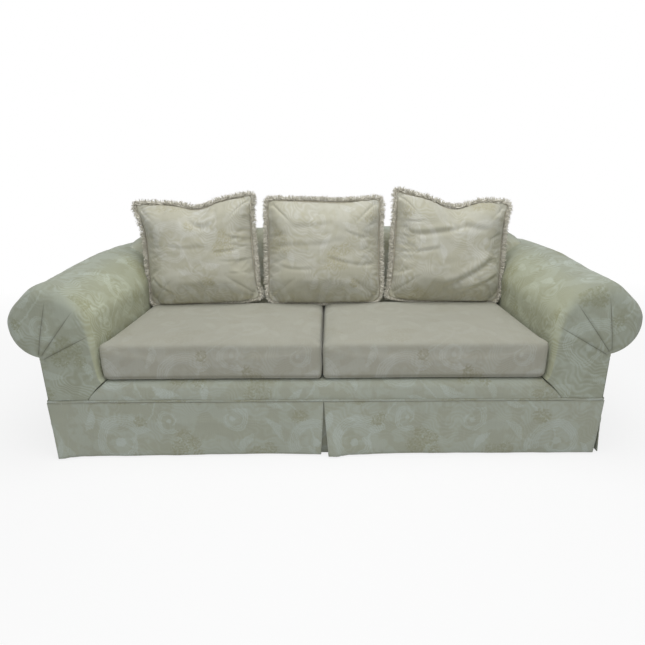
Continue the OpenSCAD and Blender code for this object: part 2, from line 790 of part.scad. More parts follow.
module at_pillow(k)
  translate([pillow_spots[k][0], foot_y, lip_top_z]) rotate([-back_lean, 0, 0])
  translate([0, -pillow_half_t - 2 * ease, pillow_up]) rotate([90, 0, 0])
  rotate(pillow_spots[k][1] * pillow_turn) children();

module pillow_cover(k)
  color("wheat")
  at_pillow(k) difference() {
    pillow_form(k, 0);
    pillow_form(k, cloth_t);
  }

module pillow_fill(k) color("white") at_pillow(k) pillow_form(k, cloth_t + ease);

// The fringe is a closed band round the seam
module pillow_fringe(k)
  color("ivory")
  at_pillow(k) {
    inner = pillow_outline(k, ease, 0);
    outer = pillow_outline(k, fringe_w, 0);
    n = len(inner);
    points = concat([for (p = inner) [p.x, p.y, -fringe_t / 2]], [for (p = outer) [p.x, p.y, -fringe_t / 2]],
                    [for (p = outer) [p.x, p.y, fringe_t / 2]], [for (p = inner) [p.x, p.y, fringe_t / 2]]);
    polyhedron(points, [for (r = [0:3], j = [0:n - 1])
      let (s = (r + 1) % 4 * n, k = (j + 1) % n, a = r * n + j, b = r * n + k, c = s + k, e = s + j)
      each [[a, c, b], [a, e, c]]], convexity = 4);
  }

module pillow_cover_left() pillow_cover(0);
module pillow_cover_middle() pillow_cover(1);
module pillow_cover_right() pillow_cover(2);
module pillow_fill_left() pillow_fill(0);
module pillow_fill_middle() pillow_fill(1);
module pillow_fill_right() pillow_fill(2);
module pillow_fringe_left() pillow_fringe(0);
module pillow_fringe_middle() pillow_fringe(1);
module pillow_fringe_right() pillow_fringe(2);

front_rail();
back_rail();
side_rails();
centre_brace();
corner_blocks();
legs();
leg_bolts();
glides();
arm_posts();
arm_boards();
arm_liners();
back_posts();
back_top_rail();
back_tack_rail();
back_stiles();
seat_springs();
spring_clips();
back_webbing();
seat_burlap();
deck_pad();
deck_cover();
lip_pad();
lip_cover();
back_pad();
inside_back_cover();
outside_back();
arm_pad_left();
arm_pad_right();
arm_cover_left();
arm_cover_right();
outside_arm_left();
outside_arm_right();
dust_cover();
skirt_front_left();
skirt_front_right();
skirt_left();
skirt_right();
skirt_back();
skirt_pleats();
skirt_band();
seat_foam_left();
seat_foam_right();
seat_cover_left();
seat_cover_right();
zip_left();
zip_right();
zip_slider_left();
zip_slider_right();
pillow_fill_left();
pillow_fill_middle();
pillow_fill_right();
pillow_cover_left();
pillow_cover_middle();
pillow_cover_right();
pillow_fringe_left();
pillow_fringe_middle();
pillow_fringe_right();
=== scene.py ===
# %% [markdown]
# # A skirted roll-arm sofa
#
# The joinery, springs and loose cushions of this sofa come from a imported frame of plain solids. This lesson
# dresses them: damask covers with pleated arms, a tailored skirt, boxed seat cushions and fringed pillows. Each
# step says what the piece is on a real sofa, how it could be made, and why this way was chosen.

# %% Load the frame
import json
import math
import random

import bmesh
import bpy
from mathutils.bvhtree import BVHTree
from mathutils import Matrix, Vector, noise

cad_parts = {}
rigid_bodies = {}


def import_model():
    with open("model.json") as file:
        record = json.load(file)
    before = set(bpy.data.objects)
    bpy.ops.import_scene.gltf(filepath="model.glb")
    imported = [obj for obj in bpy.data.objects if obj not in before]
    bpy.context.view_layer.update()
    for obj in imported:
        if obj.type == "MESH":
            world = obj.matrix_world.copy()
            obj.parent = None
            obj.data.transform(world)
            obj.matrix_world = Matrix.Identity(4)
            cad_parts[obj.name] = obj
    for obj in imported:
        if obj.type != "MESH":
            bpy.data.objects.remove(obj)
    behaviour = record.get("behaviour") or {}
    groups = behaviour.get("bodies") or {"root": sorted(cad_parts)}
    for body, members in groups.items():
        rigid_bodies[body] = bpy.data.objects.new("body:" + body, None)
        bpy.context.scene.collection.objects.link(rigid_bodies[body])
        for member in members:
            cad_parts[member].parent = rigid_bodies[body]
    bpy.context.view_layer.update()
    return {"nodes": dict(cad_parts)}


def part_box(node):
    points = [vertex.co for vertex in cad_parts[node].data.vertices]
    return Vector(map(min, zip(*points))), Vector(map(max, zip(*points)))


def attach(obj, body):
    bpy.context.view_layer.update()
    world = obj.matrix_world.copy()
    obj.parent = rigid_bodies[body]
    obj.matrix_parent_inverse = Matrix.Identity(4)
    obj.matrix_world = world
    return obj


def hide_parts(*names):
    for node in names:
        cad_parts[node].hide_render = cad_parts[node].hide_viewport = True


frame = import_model()

# %% [markdown]
# ## The main planes
#
# A cover has to lie where its solid lies. So the planes that several pieces share are read from the frame once,
# and only what the frame's boxes don't give, such as the height of the pinch under an arm, is written here.

# %% Read the shared planes
band_low, band_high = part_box("skirt_band")
arm_low, arm_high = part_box("arm_cover_right")
panel_low, panel_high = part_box("outside_arm_right")
back_low, back_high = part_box("inside_back_cover")
lip_low, lip_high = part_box("lip_cover")

SEAM_Z, BAND_TOP_Z = band_low[2], band_high[2]
FRONT_Y, REAR_Y = arm_low[1], arm_high[1]
INNER_X, ROLL_X = arm_low[0], arm_high[0]
HALF_W = panel_high[0]
LIP_Z = lip_high[2]
TRUNK_X = panel_low[0] - 0.0003
LIP_FLARE = 0.073
PINCH_Z = 0.418
ROLL_MID_Z = 0.545
ARM_SPRING_Z = 0.480
ARM_FRONT_Z = 0.703
ARM_REAR_Z = arm_high[2]
CREST_X = INNER_X + 0.195
LEAN = math.radians(16)
BACK_FOOT_Y = FRONT_Y + 0.652
print(f"Seat {2 * INNER_X:.3f} m wide, arms out to {ROLL_X:.3f} m, skirt seam at {SEAM_Z:.3f} m")

# %% [markdown]
# ## The camera and the studio
#
# The camera stands at a person's chest height, a little over a sofa's width away, and looks down slightly. Its
# lens is a wide one, which is why the arms spread towards the viewer. A pale floor, an even sky and two large
# lamps give soft light, and only the camera sees the white of the backdrop.

# %% Place the camera
FOCUS = 475.68 / 645  # the focal length as a share of the picture's width
CAMERA_SPOT = (0.0353, -2.1683, 1.0900)
CAMERA_TURN, CAMERA_DIP, CAMERA_ROLL = 0.0188, 0.3052, -0.0140
SENSOR_W = 36

camera = bpy.data.objects.new("camera", bpy.data.cameras.new("camera"))
camera.data.sensor_width = SENSOR_W
camera.data.lens = SENSOR_W * FOCUS
camera.data.clip_end = 60
camera.matrix_world = (Matrix.Translation(CAMERA_SPOT) @ Matrix.Rotation(CAMERA_TURN, 4, "Z")
                       @ Matrix.Rotation(math.pi / 2 - CAMERA_DIP, 4, "X") @ Matrix.Rotation(CAMERA_ROLL, 4, "Z"))
bpy.context.scene.collection.objects.link(camera)
bpy.context.scene.camera = camera
bpy.context.scene.view_settings.view_transform = "Standard"
print(f"The lens is {camera.data.lens:.1f} mm")


# %% [markdown]
# ## Writing materials as sums
#
# A pattern such as damask takes a hundred small nodes. Laid out by hand they are hard to follow, so a small class
# wraps a node's output and lets it stand in a Python sum. Each operation on it adds one Math node.

# %% A socket that can be used in sums
class Expr:
    def __init__(self, cloth, socket):
        self.cloth, self.socket = cloth, socket

    def join(self, operation, *values, clamp=False):
        return self.cloth.node("ShaderNodeMath", {"operation": operation, "use_clamp": clamp}, values)

    def __add__(self, other):
        return self.join("ADD", self, other)

    def __sub__(self, other):
        return self.join("SUBTRACT", self, other)

    def __rsub__(self, other):
        return self.join("SUBTRACT", other, self)

    def __mul__(self, other):
        return self.join("MULTIPLY", self, other)

    def __truediv__(self, other):
        return self.join("DIVIDE", self, other)

    def __neg__(self):
        return self.join("MULTIPLY", self, -1)

    def __abs__(self):
        return self.join("ABSOLUTE", self)

    __radd__, __rmul__ = __add__, __mul__

    def apply(self, operation, *others):
        return self.join(operation, self, *others)

    def inside(self, blur):
        """1 where this is well above 0, and 0 where it is well below, with a soft edge."""
        return self.join("MULTIPLY_ADD", self, 1 / blur, 0.5, clamp=True)


# %% A material and the one method that adds its nodes
class Finish:
    def __init__(self, name, shelf=bpy.data.materials):
        """Makes a new material, or a new world where the shelf is bpy.data.worlds."""
        self.made = shelf.new(name)
        self.made.use_nodes = True
        self.tree = self.made.node_tree
        self.tree.nodes.clear()

    def node(self, kind, settings=None, inputs=(), output=0):
        made = self.tree.nodes.new(kind)
        for key, value in (settings or {}).items():
            setattr(made, key, value)
        pairs = inputs.items() if isinstance(inputs, dict) else enumerate(inputs)
        for key, value in pairs:
            if isinstance(value, Expr):
                self.tree.links.new(value.socket, made.inputs[key])
            else:
                made.inputs[key].default_value = value
        return Expr(self, made.outputs[output]) if made.outputs else None

    def split(self, vector):
        made = self.tree.nodes.new("ShaderNodeSeparateXYZ")
        self.tree.links.new(vector.socket, made.inputs[0])
        return [Expr(self, out) for out in made.outputs]

    def place(self):
        return self.node("ShaderNodeTexCoord", output="Object")

    def cloth_map(self):
        return self.node("ShaderNodeUVMap", {"uv_map": "cloth"})

    def attribute(self, name):
        return self.node("ShaderNodeAttribute", {"attribute_name": name}, output="Fac")

    def noise(self, place, scale, detail=2.0, output="Fac"):
        return self.node("ShaderNodeTexNoise", {}, {"Vector": place, "Scale": scale, "Detail": detail}, output)

    def mix(self, share, first, second):
        return self.node("ShaderNodeMix", {"data_type": "RGBA"}, {0: share, 6: first, 7: second}, 2)

    def scaled(self, vector, factors):
        return self.node("ShaderNodeVectorMath", {"operation": "MULTIPLY"}, {0: vector, 1: factors})

    def dimmed(self, colour, factor):
        colour = colour if isinstance(colour, Expr) else colour[:3]
        return self.node("ShaderNodeVectorMath", {"operation": "SCALE"}, {0: colour, "Scale": factor})

    def finish(self, colour, roughness, height=None, relief=0.001, strength=1.0, **fixed):
        """Joins the shader. What varies goes in colour, roughness and height, and fixed holds plain numbers."""
        inputs = {"Base Color": colour, "Roughness": roughness}
        if height is not None:
            inputs["Normal"] = self.node("ShaderNodeBump", {}, {"Strength": strength, "Distance": relief,
                                                                "Height": height})
        inputs.update({key.replace("_", " "): value for key, value in fixed.items()})
        shader = self.node("ShaderNodeBsdfPrincipled", {}, inputs)
        self.node("ShaderNodeOutputMaterial", {}, {"Surface": shader})
        return self.made


def rgb(red, green, blue):
    """A colour as a shader wants it, from the numbers from 0 to 255 that a paint box shows."""
    return tuple((c / 255 / 12.92 if c <= 10.3 else ((c / 255 + 0.055) / 1.055) ** 2.4)
                 for c in (red, green, blue)) + (1.0,)


# %% [markdown]
# ## The floor, the sky and the lamps
#
# The floor reflects light as pale paint does, but the camera sees most of it as white, so that the sofa's soft
# shadow is all that shows. The sky does the same: its light is grey, and what the camera meets is white.

# %% Make the stage
def camera_or_mirror(cloth):
    """1 where the camera looks, also by way of a mirror or glass, and 0 where a surface is lit."""
    path = cloth.tree.nodes.new("ShaderNodeLightPath")
    eye, mirror, glass = [Expr(cloth, path.outputs[name]) for name in
                          ("Is Camera Ray", "Is Glossy Ray", "Is Transmission Ray")]
    return eye.apply("MAXIMUM", mirror).apply("MAXIMUM", glass)


def floor_finish():
    """Pale paint near the sofa, which turns to plain white further out, so that no horizon shows."""
    cloth = Finish("studio_floor")
    x, y, _ = cloth.split(cloth.place())
    far = ((x * x + y * y).apply("SQRT") - 2.8).inside(2.4)
    paint = cloth.node("ShaderNodeBsdfDiffuse", {}, {"Color": rgb(236, 236, 236)})
    glow = cloth.node("ShaderNodeEmission", {}, {"Color": (1, 1, 1, 1), "Strength": 1.0})
    white = camera_or_mirror(cloth) * (0.80 + far * 0.20)
    both = cloth.node("ShaderNodeMixShader", {}, {0: white, 1: paint, 2: glow})
    cloth.node("ShaderNodeOutputMaterial", {}, {"Surface": both})
    return cloth.made


def sky(strength):
    """An even sky that lights with that strength and looks white."""
    air = Finish("studio_sky", bpy.data.worlds)
    bpy.context.scene.world = air.made
    light = air.node("ShaderNodeBackground", {}, {"Color": (0.97, 0.985, 1, 1), "Strength": strength})
    white = air.node("ShaderNodeBackground", {}, {"Color": (1, 1, 1, 1), "Strength": 1.0})
    both = air.node("ShaderNodeMixShader", {}, {0: camera_or_mirror(air), 1: light, 2: white})
    air.node("ShaderNodeOutputWorld", {}, {"Surface": both})


def lamp(name, place, size, power):
    """A round lamp that is aimed at the sofa's seat."""
    light = bpy.data.lights.new(name, "AREA")
    light.shape, light.size, light.energy = "DISK", size, power
    holder = bpy.data.objects.new(name, light)
    holder.location = place
    holder.rotation_euler = (Vector((0, 0, 0.4)) - Vector(place)).to_track_quat("-Z", "Y").to_euler()
    bpy.context.scene.collection.objects.link(holder)


def settled(name, bm):
    """Puts a finished bmesh into the scene as a smooth-shaded piece."""
    mesh = bpy.data.meshes.new(name)
    bm.to_mesh(mesh)
    bm.free()
    mesh.shade_smooth()
    piece = bpy.data.objects.new(name, mesh)
    bpy.context.scene.collection.objects.link(piece)
    return piece


def make_floor():
    """The floor belongs to the stage and not to the sofa."""
    bm = bmesh.new()
    bmesh.ops.create_grid(bm, x_segments=2, y_segments=2, size=20)
    floor = settled("studio_floor", bm)
    floor.data.materials.append(floor_finish())


make_floor()
sky(0.36)
lamp("ceiling_lamp", (0.15, -0.6, 3.6), 3.0, 86)
lamp("window_lamp", (0.1, -4.8, 2.6), 2.8, 42)
print("Stage ready")


# %% [markdown]
# ## Damask
#
# Damask is one colour of yarn woven two ways, so that flowers, leaves and scrolls show only by their sheen. The
# pattern repeats in columns, and every second column is dropped by half a repeat. Each motif here is a short sum
# on the cloth's own map, in metres. Drawing it by sums keeps it sharp at any size, which a picture wouldn't.

# %% Motifs on the cloth's map
REPEAT_W, REPEAT_H = 0.56, 0.60


def from_spot(u, v, spot, turn):
    """The map as seen from a motif's own place, turned to its own direction."""
    across, up = u - spot[0], v - spot[1]
    c, s = math.cos(turn), math.sin(turn)
    return across * c + up * s, up * c - across * s


def flower(u, v, spot, size, petals, turn, ragged):
    """A flower whose petals are lost in ragged stitches."""
    a, b = u - spot[0], v - spot[1]
    reach = (a * a + b * b).apply("SQRT")
    wave = abs(((b.apply("ARCTAN2", a) * petals + turn) * 0.5).apply("COSINE"))
    bloom = (size * 0.48 + wave * size * 0.52 - reach).inside(0.005)
    bloom = bloom - (size * 0.24 - reach).inside(0.005) * 0.8
    return (bloom * 0.40).apply("MAXIMUM", (size * 1.15 - reach).inside(0.014) * ragged * 0.75)


def leaf(u, v, spot, length, width, turn, bend):
    """A pointed leaf whose veins are hatched."""
    a, b = from_spot(u, v, spot, turn)
    b = abs(b - a * a * bend)
    veins = ((a + b) * (2 * math.pi / 0.011)).apply("SINE")
    return (width - a * a * (width / length ** 2) - b).inside(0.005) * (0.70 + veins * 0.30)


def scroll(u, v, spot, size, width, turn, hand):
    """A curl that winds in once and ends in a bud. Fine lines run along it, like a feather's."""
    a, b = from_spot(u, v, spot, turn)
    reach = (a * a + b * b).apply("SQRT")
    share = (b * hand).apply("ARCTAN2", a) / (2 * math.pi) + 0.5
    line = size * 0.42 + share * size * 0.58
    feather = ((reach - line) * (2 * math.pi / 0.0085)).apply("COSINE")
    stroke = (width * 0.30 + share * width * 0.70 - abs(reach - line)).inside(0.006)
    return (stroke * (0.62 + feather * 0.38)).apply("MAXIMUM", (size * 0.17 - reach).inside(0.006))


def most(values, largest=None):
    """The largest of several values, and of the one that is given already."""
    for value in values:
        largest = value if largest is None else largest.apply("MAXIMUM", value)
    return largest


# %% The repeat
# The place, size and direction of each leaf, scroll and flower of the figure, in metres and radians
PALE_LEAVES = [((-0.045, 0.215), 0.060, 0.018, 2.2, 4), ((-0.185, 0.165), 0.054, 0.018, 0.9, -5),
               ((0.060, -0.245), 0.058, 0.018, -0.4, 4), ((0.215, -0.225), 0.050, 0.016, 1.9, 5),
               ((-0.235, -0.050), 0.050, 0.016, 1.3, 3), ((0.235, 0.110), 0.052, 0.016, -1.2, -4),
               ((0.010, 0.045), 0.044, 0.013, 0.6, 5), ((-0.070, -0.275), 0.046, 0.015, 2.7, -4)]
PALE_SCROLLS = [((0.115, 0.150), 0.100, 0.026, 0.4, 1), ((-0.120, -0.145), 0.108, 0.028, 3.6, -1),
                ((0.080, -0.045), 0.052, 0.014, 2.2, 1), ((-0.225, 0.255), 0.058, 0.016, 5.1, 1)]
BLOOMS = [((-0.135, 0.105), 0.0342, 5, 0.3), ((-0.082, 0.122), 0.0279, 5, 1.1), ((-0.108, 0.052), 0.0306, 5, 2.0),
          ((-0.165, 0.048), 0.0234, 5, 0.0), ((0.118, -0.172), 0.0342, 5, 0.9), ((0.172, -0.142), 0.0279, 5, 0.2),
          ((0.138, -0.112), 0.0252, 5, 1.5), ((0.190, -0.190), 0.0225, 5, 0.5), ((-0.035, -0.045), 0.0234, 5, 0.7),
          ((0.040, 0.268), 0.0288, 6, 0.5)]


def damask_masks(cloth):
    """How pale and how dark the figure is at each point of the cloth."""
    where = cloth.cloth_map()
    drift = cloth.split(cloth.noise(where, 8.0, 1.0, "Color"))
    shake = cloth.split(cloth.noise(where, 95.0, 1.0, "Color"))
    u, v = cloth.split(where)[:2]
    u = u + (drift[0] - 0.5) * 0.045 + (shake[0] - 0.5) * 0.012
    v = v + (drift[1] - 0.5) * 0.045 + (shake[1] - 0.5) * 0.012
    column = (u / REPEAT_W).apply("ROUND")
    v = v + column * (REPEAT_H / 2)
    u, v = u - column * REPEAT_W, v - (v / REPEAT_H).apply("ROUND") * REPEAT_H
    stem = (0.004 - abs(u - (v * (2 * math.pi / REPEAT_H)).apply("SINE") * 0.085 - 0.02)).inside(0.005) * 0.7
    leaves = most((leaf(u, v, *row) for row in PALE_LEAVES), stem)
    pale = most((scroll(u, v, *row) for row in PALE_SCROLLS), leaves)
    ragged = (cloth.noise(where, 105.0, 3.0) - 0.50).inside(0.10)
    dark = most(flower(u, v, *row, ragged) for row in BLOOMS)
    return where, pale * (1 - dark), dark


def laid_pleats(cloth, body):
    """A thin line of painted shade for each pleat on the arms' fronts, and the step where its cloth laps over."""
    x, y, z = cloth.split(body)
    line, lap = None, None
    for side, pleats in PLEATS.items():
        for start, end, depth in pleats:
            run = Vector(end) - Vector(start)
            along = ((x - start[0]) * run.x + (z - start[1]) * run.y) * (1 / run.length)
            away = ((z - start[1]) * run.x - (x - start[0]) * run.y) * (side / run.length)
            window = (along + 0.004).inside(0.01) * (run.length * 0.96 - along).inside(run.length * 0.25)
            window = window * (FRONT_Y + 0.040 - y).inside(0.02)
            # Painted shade: a thin dark line along the pleat
            one = (0.0010 - abs(away)).inside(0.0016) * window
            step = away.inside(0.0016) * (0.016 - away).inside(0.024) * window * depth
            line = one if line is None else line.apply("MAXIMUM", one)
            lap = step if lap is None else lap.apply("MAXIMUM", step)
    return line, lap


SHADOW_TONE = rgb(78, 74, 56)


def damask(name, ground, pale_tone, dark_tone, top_sheen_fade=0.0, pleated=False, flow=0.15, lit_side=None,
           painted_light=(1, 1, 1, 1)):
    """Tone-on-tone cloth. The fold attribute paints shade into seams and pleats. flow is how much the fine
    plumes show. The figure is painted fainter on cloth that looks up, by top_sheen_fade, as painted sheen.
    The side that lit_side names, inner, front or under, gets painted light: it is lighter by the factors in
    painted_light."""
    cloth = Finish(name)
    where, pale, dark = damask_masks(cloth)
    body = cloth.place()
    cloudy = cloth.noise(body, 5.0, 3.0)
    patches = (cloth.noise(where, 12.0, 6.0) - 0.50).inside(0.07)
    across, along = cloth.split(where)[:2]
    swirl = cloth.noise(where, 5.5, 2.2) + across * 1.2 + along * 2.1
    strokes = (cloth.noise(cloth.scaled(where, (60, 60, 1)), 1.0, 1.0) - 0.30).inside(0.25)
    plumes = (cloth.noise(where, 5.5, 1.0) - 0.48).inside(0.12)
    flowing = (swirl * (2 * math.pi * 18)).apply("SINE") * plumes * strokes
    streaks = cloth.noise(cloth.scaled(where, (260, 14, 1)), 1.0, 3.0)
    yarn = cloth.noise(cloth.scaled(where, (900, 260, 1)), 1.0, 1.0)
    wear = cloth.noise(body, 19.0, 4.0)
    show = 0.50 + cloudy * 0.75
    facing = cloth.split(cloth.node("ShaderNodeNewGeometry", output="Normal"))
    # Painted sheen: the figure is made fainter where the cloth looks up
    if top_sheen_fade:
        show = show * (1 - facing[2].apply("MAXIMUM", 0) * top_sheen_fade)
    figure = (pale * 0.70 + patches * 0.36 + flowing.apply("MAXIMUM", 0) * flow).apply("MINIMUM", 1)
    colour = cloth.mix(figure * show, ground, pale_tone)
    olive = dark.apply("MAXIMUM", (-flowing).apply("MAXIMUM", 0) * (flow * 0.8))
    colour = cloth.mix(olive * show, colour, dark_tone)
    shade = 0.85 + cloudy * 0.11 + streaks * 0.09 + yarn * 0.05 + wear * 0.06
    colour = cloth.dimmed(colour, shade)
    # Painted light: cloth that faces inwards, forwards or down, as chosen, is made lighter by the given factors
    if lit_side:
        away = facing[{"inner": 0, "front": 1, "under": 2}[lit_side]]
        if lit_side == "inner":
            away = away * cloth.split(body)[0].apply("SIGN")
        colour = cloth.scaled(colour, cloth.mix((-away - 0.60).inside(0.6), (1, 1, 1, 1), painted_light))
    # Painted shade: the fold attribute and the pleat lines darken the colour towards the shadow tone
    painted_shade = cloth.attribute("fold") * 0.85
    height = pale * 0.30 - dark * 0.20 + yarn * 0.20 + streaks * 0.25 + wear * 0.45
    if pleated:
        line, lap = laid_pleats(cloth, body)
        painted_shade = painted_shade.apply("MAXIMUM", line * 0.72)
        height = height + lap * 2.2
    colour = cloth.mix(painted_shade.apply("MINIMUM", 1), colour, SHADOW_TONE)
    rough = 0.82 - pale * 0.12 + yarn * 0.06
    return cloth.finish(colour, rough, height, relief=0.0012, strength=0.5,
                        Sheen_Weight=0.10, Sheen_Roughness=0.5, Specular_IOR_Level=0.3)


# Where each pleat on the arms' fronts starts and ends in x and z, and how deep it is
PLEATS = {-1: [((-1.084, 0.444), (-1.028, 0.636), 1.0), ((-1.070, 0.440), (-0.938, 0.598), 1.15),
               ((-1.062, 0.424), (-0.890, 0.508), 1.0)],
          1: [((1.086, 0.446), (1.050, 0.634), 0.85), ((1.074, 0.440), (0.944, 0.610), 1.15),
              ((1.064, 0.428), (0.886, 0.532), 1.0)]}
COVER_TONES = rgb(153, 156, 141), rgb(169, 176, 168), rgb(139, 139, 115)
DAMASK = damask("damask_cloth", *COVER_TONES)
# The arms' inner sides get painted light, which makes them lighter and warmer
ARM_DAMASK = damask("pleated_damask", rgb(147, 151, 135), rgb(167, 174, 163), rgb(132, 134, 108),
                    pleated=True, flow=0.36, lit_side="inner", painted_light=(1.23, 1.20, 1.07, 1))
CUSHION_DAMASK = damask("cushion_cloth", rgb(154, 153, 140), rgb(168, 169, 161), rgb(133, 130, 107),
                        top_sheen_fade=0.7)
# The pillows' undersides get painted light
PILLOW_DAMASK = damask("pillow_cloth", rgb(174, 172, 155), rgb(190, 190, 181), rgb(161, 156, 129),
                       flow=0.36, lit_side="under", painted_light=(1.42, 1.39, 1.32, 1))
# The back gets painted light where it faces the front
BACK_DAMASK = damask("back_cloth", *COVER_TONES, lit_side="front", painted_light=(1.36, 1.30, 1.22, 1))
print("Damask has", len(DAMASK.node_tree.nodes), "nodes")


# %% [markdown]
# ## Plainer finishes
#
# What the covers hide still shows when a cushion is lifted or the sofa is turned over. Timber gets grain along the
# board, wire and hardware get brushed steel, and the linings get their own weaves: burlap and webbing of jute,
# black dust cloth, and fluffy cotton felt.

# %% Timber, steel and linings
def timber(name, along, light_tone, dark_tone):
    """Wood whose grain runs along one axis."""
    wood = Finish(name)
    where = wood.place()
    stretch = [28.0, 28.0, 28.0]
    stretch["xyz".index(along)] = 1.6
    rings = wood.noise(wood.scaled(where, stretch), 1.0, 4.0)
    pores = wood.noise(wood.scaled(where, [s * 9 for s in stretch]), 1.0, 2.0)
    blotch = wood.noise(where, 3.0, 2.0)
    share = (rings * 1.5 - 0.3 + pores * 0.25 - 0.12).apply("MINIMUM", 1).apply("MAXIMUM", 0)
    colour = wood.mix(share, dark_tone, light_tone)
    colour = wood.dimmed(colour, 0.85 + blotch * 0.3)
    return wood.finish(colour, 0.45 + pores * 0.3, rings * 0.4 + pores * 0.6, relief=0.0006, strength=0.5)


def steel(name, tone, rough):
    """Brushed metal."""
    metal = Finish(name)
    where = metal.place()
    brushed = metal.noise(metal.scaled(where, (300, 300, 20)), 1.0, 2.0)
    spots = metal.noise(where, 40.0, 3.0)
    colour = metal.dimmed(tone, 0.85 + spots * 0.3)
    return metal.finish(colour, rough + brushed * 0.15, brushed, relief=0.0002, strength=0.3, Metallic=1.0)


def woven(name, tone, other_tone, pitch):
    """A plain weave of threads that far apart, over the cloth's own map."""
    cloth = Finish(name)
    where = cloth.cloth_map()
    u, v = cloth.split(where)[:2]
    warp = (u * (math.pi / pitch)).apply("SINE")
    weft = (v * (math.pi / pitch)).apply("SINE")
    cross = abs(warp * weft)
    slub = cloth.noise(cloth.scaled(where, (60, 900, 1)), 1.0, 3.0)
    cloudy = cloth.noise(cloth.place(), 6.0, 3.0)
    colour = cloth.mix(cross * 0.6 + slub * 0.4, other_tone, tone)
    colour = cloth.dimmed(colour, 0.8 + cloudy * 0.4)
    return cloth.finish(colour, 0.9 - slub * 0.1, cross + slub * 0.5, relief=pitch * 0.3, strength=0.7,
                        Sheen_Weight=0.1)


def felted(name, tone, other_tone, scale):
    """Loose fibre in tufts and clumps, or a foam, where scale is high."""
    wool = Finish(name)
    where = wool.place()
    tufts = wool.noise(where, scale, 5.0)
    clumps = wool.noise(where, scale / 6, 3.0)
    colour = wool.mix(tufts * 0.6 + clumps * 0.4, other_tone, tone)
    return wool.finish(colour, 0.95 - tufts * 0.1, tufts + clumps * 2, relief=0.004, strength=0.6,
                       Sheen_Weight=0.3)


FRAME_X, FRAME_Y, FRAME_Z = [timber(f"frame_timber_{axis}", axis, rgb(203, 170, 122), rgb(160, 122, 78))
                             for axis in "xyz"]
LEG_TIMBER = timber("leg_timber", "z", rgb(98, 58, 34), rgb(52, 29, 17))
STEEL = steel("zinc_steel", (0.60, 0.60, 0.58, 1), 0.30)
WIRE = steel("spring_wire", (0.30, 0.30, 0.31, 1), 0.38)
BRASS = steel("zip_brass", (0.62, 0.48, 0.25, 1), 0.30)
JUTE = woven("jute_burlap", rgb(182, 148, 98), rgb(118, 90, 55), 0.0022)
WEBBING = woven("jute_webbing", rgb(190, 158, 108), rgb(128, 98, 62), 0.0030)
DECKING = woven("deck_cloth", rgb(186, 180, 156), rgb(150, 144, 120), 0.0015)
DUST_CLOTH = woven("dust_cloth", rgb(38, 38, 39), rgb(20, 20, 21), 0.0012)
ZIP_TAPE = woven("zip_tape", rgb(170, 164, 140), rgb(136, 130, 108), 0.0010)
COTTON = felted("cotton_felt", rgb(232, 228, 216), rgb(198, 190, 172), 90)
FIBRE = felted("fibre_fill", rgb(242, 242, 240), rgb(214, 214, 212), 60)
FOAM = felted("seat_foam", rgb(236, 222, 176), rgb(214, 196, 146), 320)
BOARD = felted("fibreboard", rgb(176, 142, 100), rgb(142, 110, 74), 140)
print("Plain finishes ready")

# %% Finish the parts of the frame that stay
KEPT = {"front_rail": FRAME_X, "back_rail": FRAME_X, "back_top_rail": FRAME_X, "back_tack_rail": FRAME_X,
        "side_rails": FRAME_Y, "centre_brace": FRAME_Y, "arm_boards": FRAME_Y, "corner_blocks": FRAME_X,
        "arm_posts": FRAME_Z, "back_posts": FRAME_Z, "back_stiles": FRAME_Z, "arm_liners": BOARD,
        "legs": LEG_TIMBER, "leg_bolts": STEEL, "glides": STEEL, "spring_clips": STEEL, "seat_springs": WIRE}
for node, material in KEPT.items():
    slots = frame["nodes"][node].data.materials
    slots.clear()
    slots.append(material)
print(len(KEPT), "frame nodes keep their own shape")


# %% [markdown]
# ## Wrapping a flat piece of cloth
#
# An upholsterer lays flat cloth over a shape. Most covers here are made the same way: a flat grid is created, and
# each of its points is moved to its place on the form. The grid's own squares then give the cloth's map in metres,
# so the damask keeps its size wherever the cloth goes.

# %% Helpers for wrapped pieces
def lerp(a, b, share):
    return a + (b - a) * share


def smooth(share):
    """Eases from 0 to 1 as the share does, and stays there outside."""
    share = max(0.0, min(1.0, share))
    return share * share * (3 - 2 * share)


def bell(distance, width):
    """1 at no distance, and nearly 0 past twice the width."""
    return math.exp(-(distance / width) ** 2)


def ripple(point, scale, seed=0.0):
    """Smooth noise from about -1 to 1, the same on every run."""
    return noise.noise(Vector(point) * scale + Vector((seed, seed * 1.7, seed * 0.3)))


def wrapped(across, along, place, flat, fold=None, drop=None, merge=1e-5):
    """A grid of across by along squares. place(i, j) gives a point's position, flat(i, j, low) its place on the
    cloth, as a corner of the square whose first corner is low, fold(i, j) how much shade gathers there, and
    drop(i, j) is true for a square that is cut away."""
    bm = bmesh.new()
    bmesh.ops.create_grid(bm, x_segments=across, y_segments=along, size=0.5)
    cloth_map = bm.loops.layers.uv.new("cloth")
    shade = bm.verts.layers.float.new("fold")

    def index(vert):
        return round((vert.co.x + 0.5) * across), round((vert.co.y + 0.5) * along)

    where = {vert: index(vert) for vert in bm.verts}
    cut = []
    for face in bm.faces:
        corners = [where[vert] for vert in face.verts]
        low = min(c[0] for c in corners), min(c[1] for c in corners)
        if drop and drop(*low):
            cut.append(face)
        for loop in face.loops:
            loop[cloth_map].uv = flat(*where[loop.vert], low)
    for vert, (i, j) in where.items():
        vert.co = place(i, j)
        vert[shade] = fold(i, j) if fold else 0.0
    bmesh.ops.delete(bm, geom=cut, context="FACES")
    if merge:
        bmesh.ops.remove_doubles(bm, verts=bm.verts, dist=merge)
    return bm


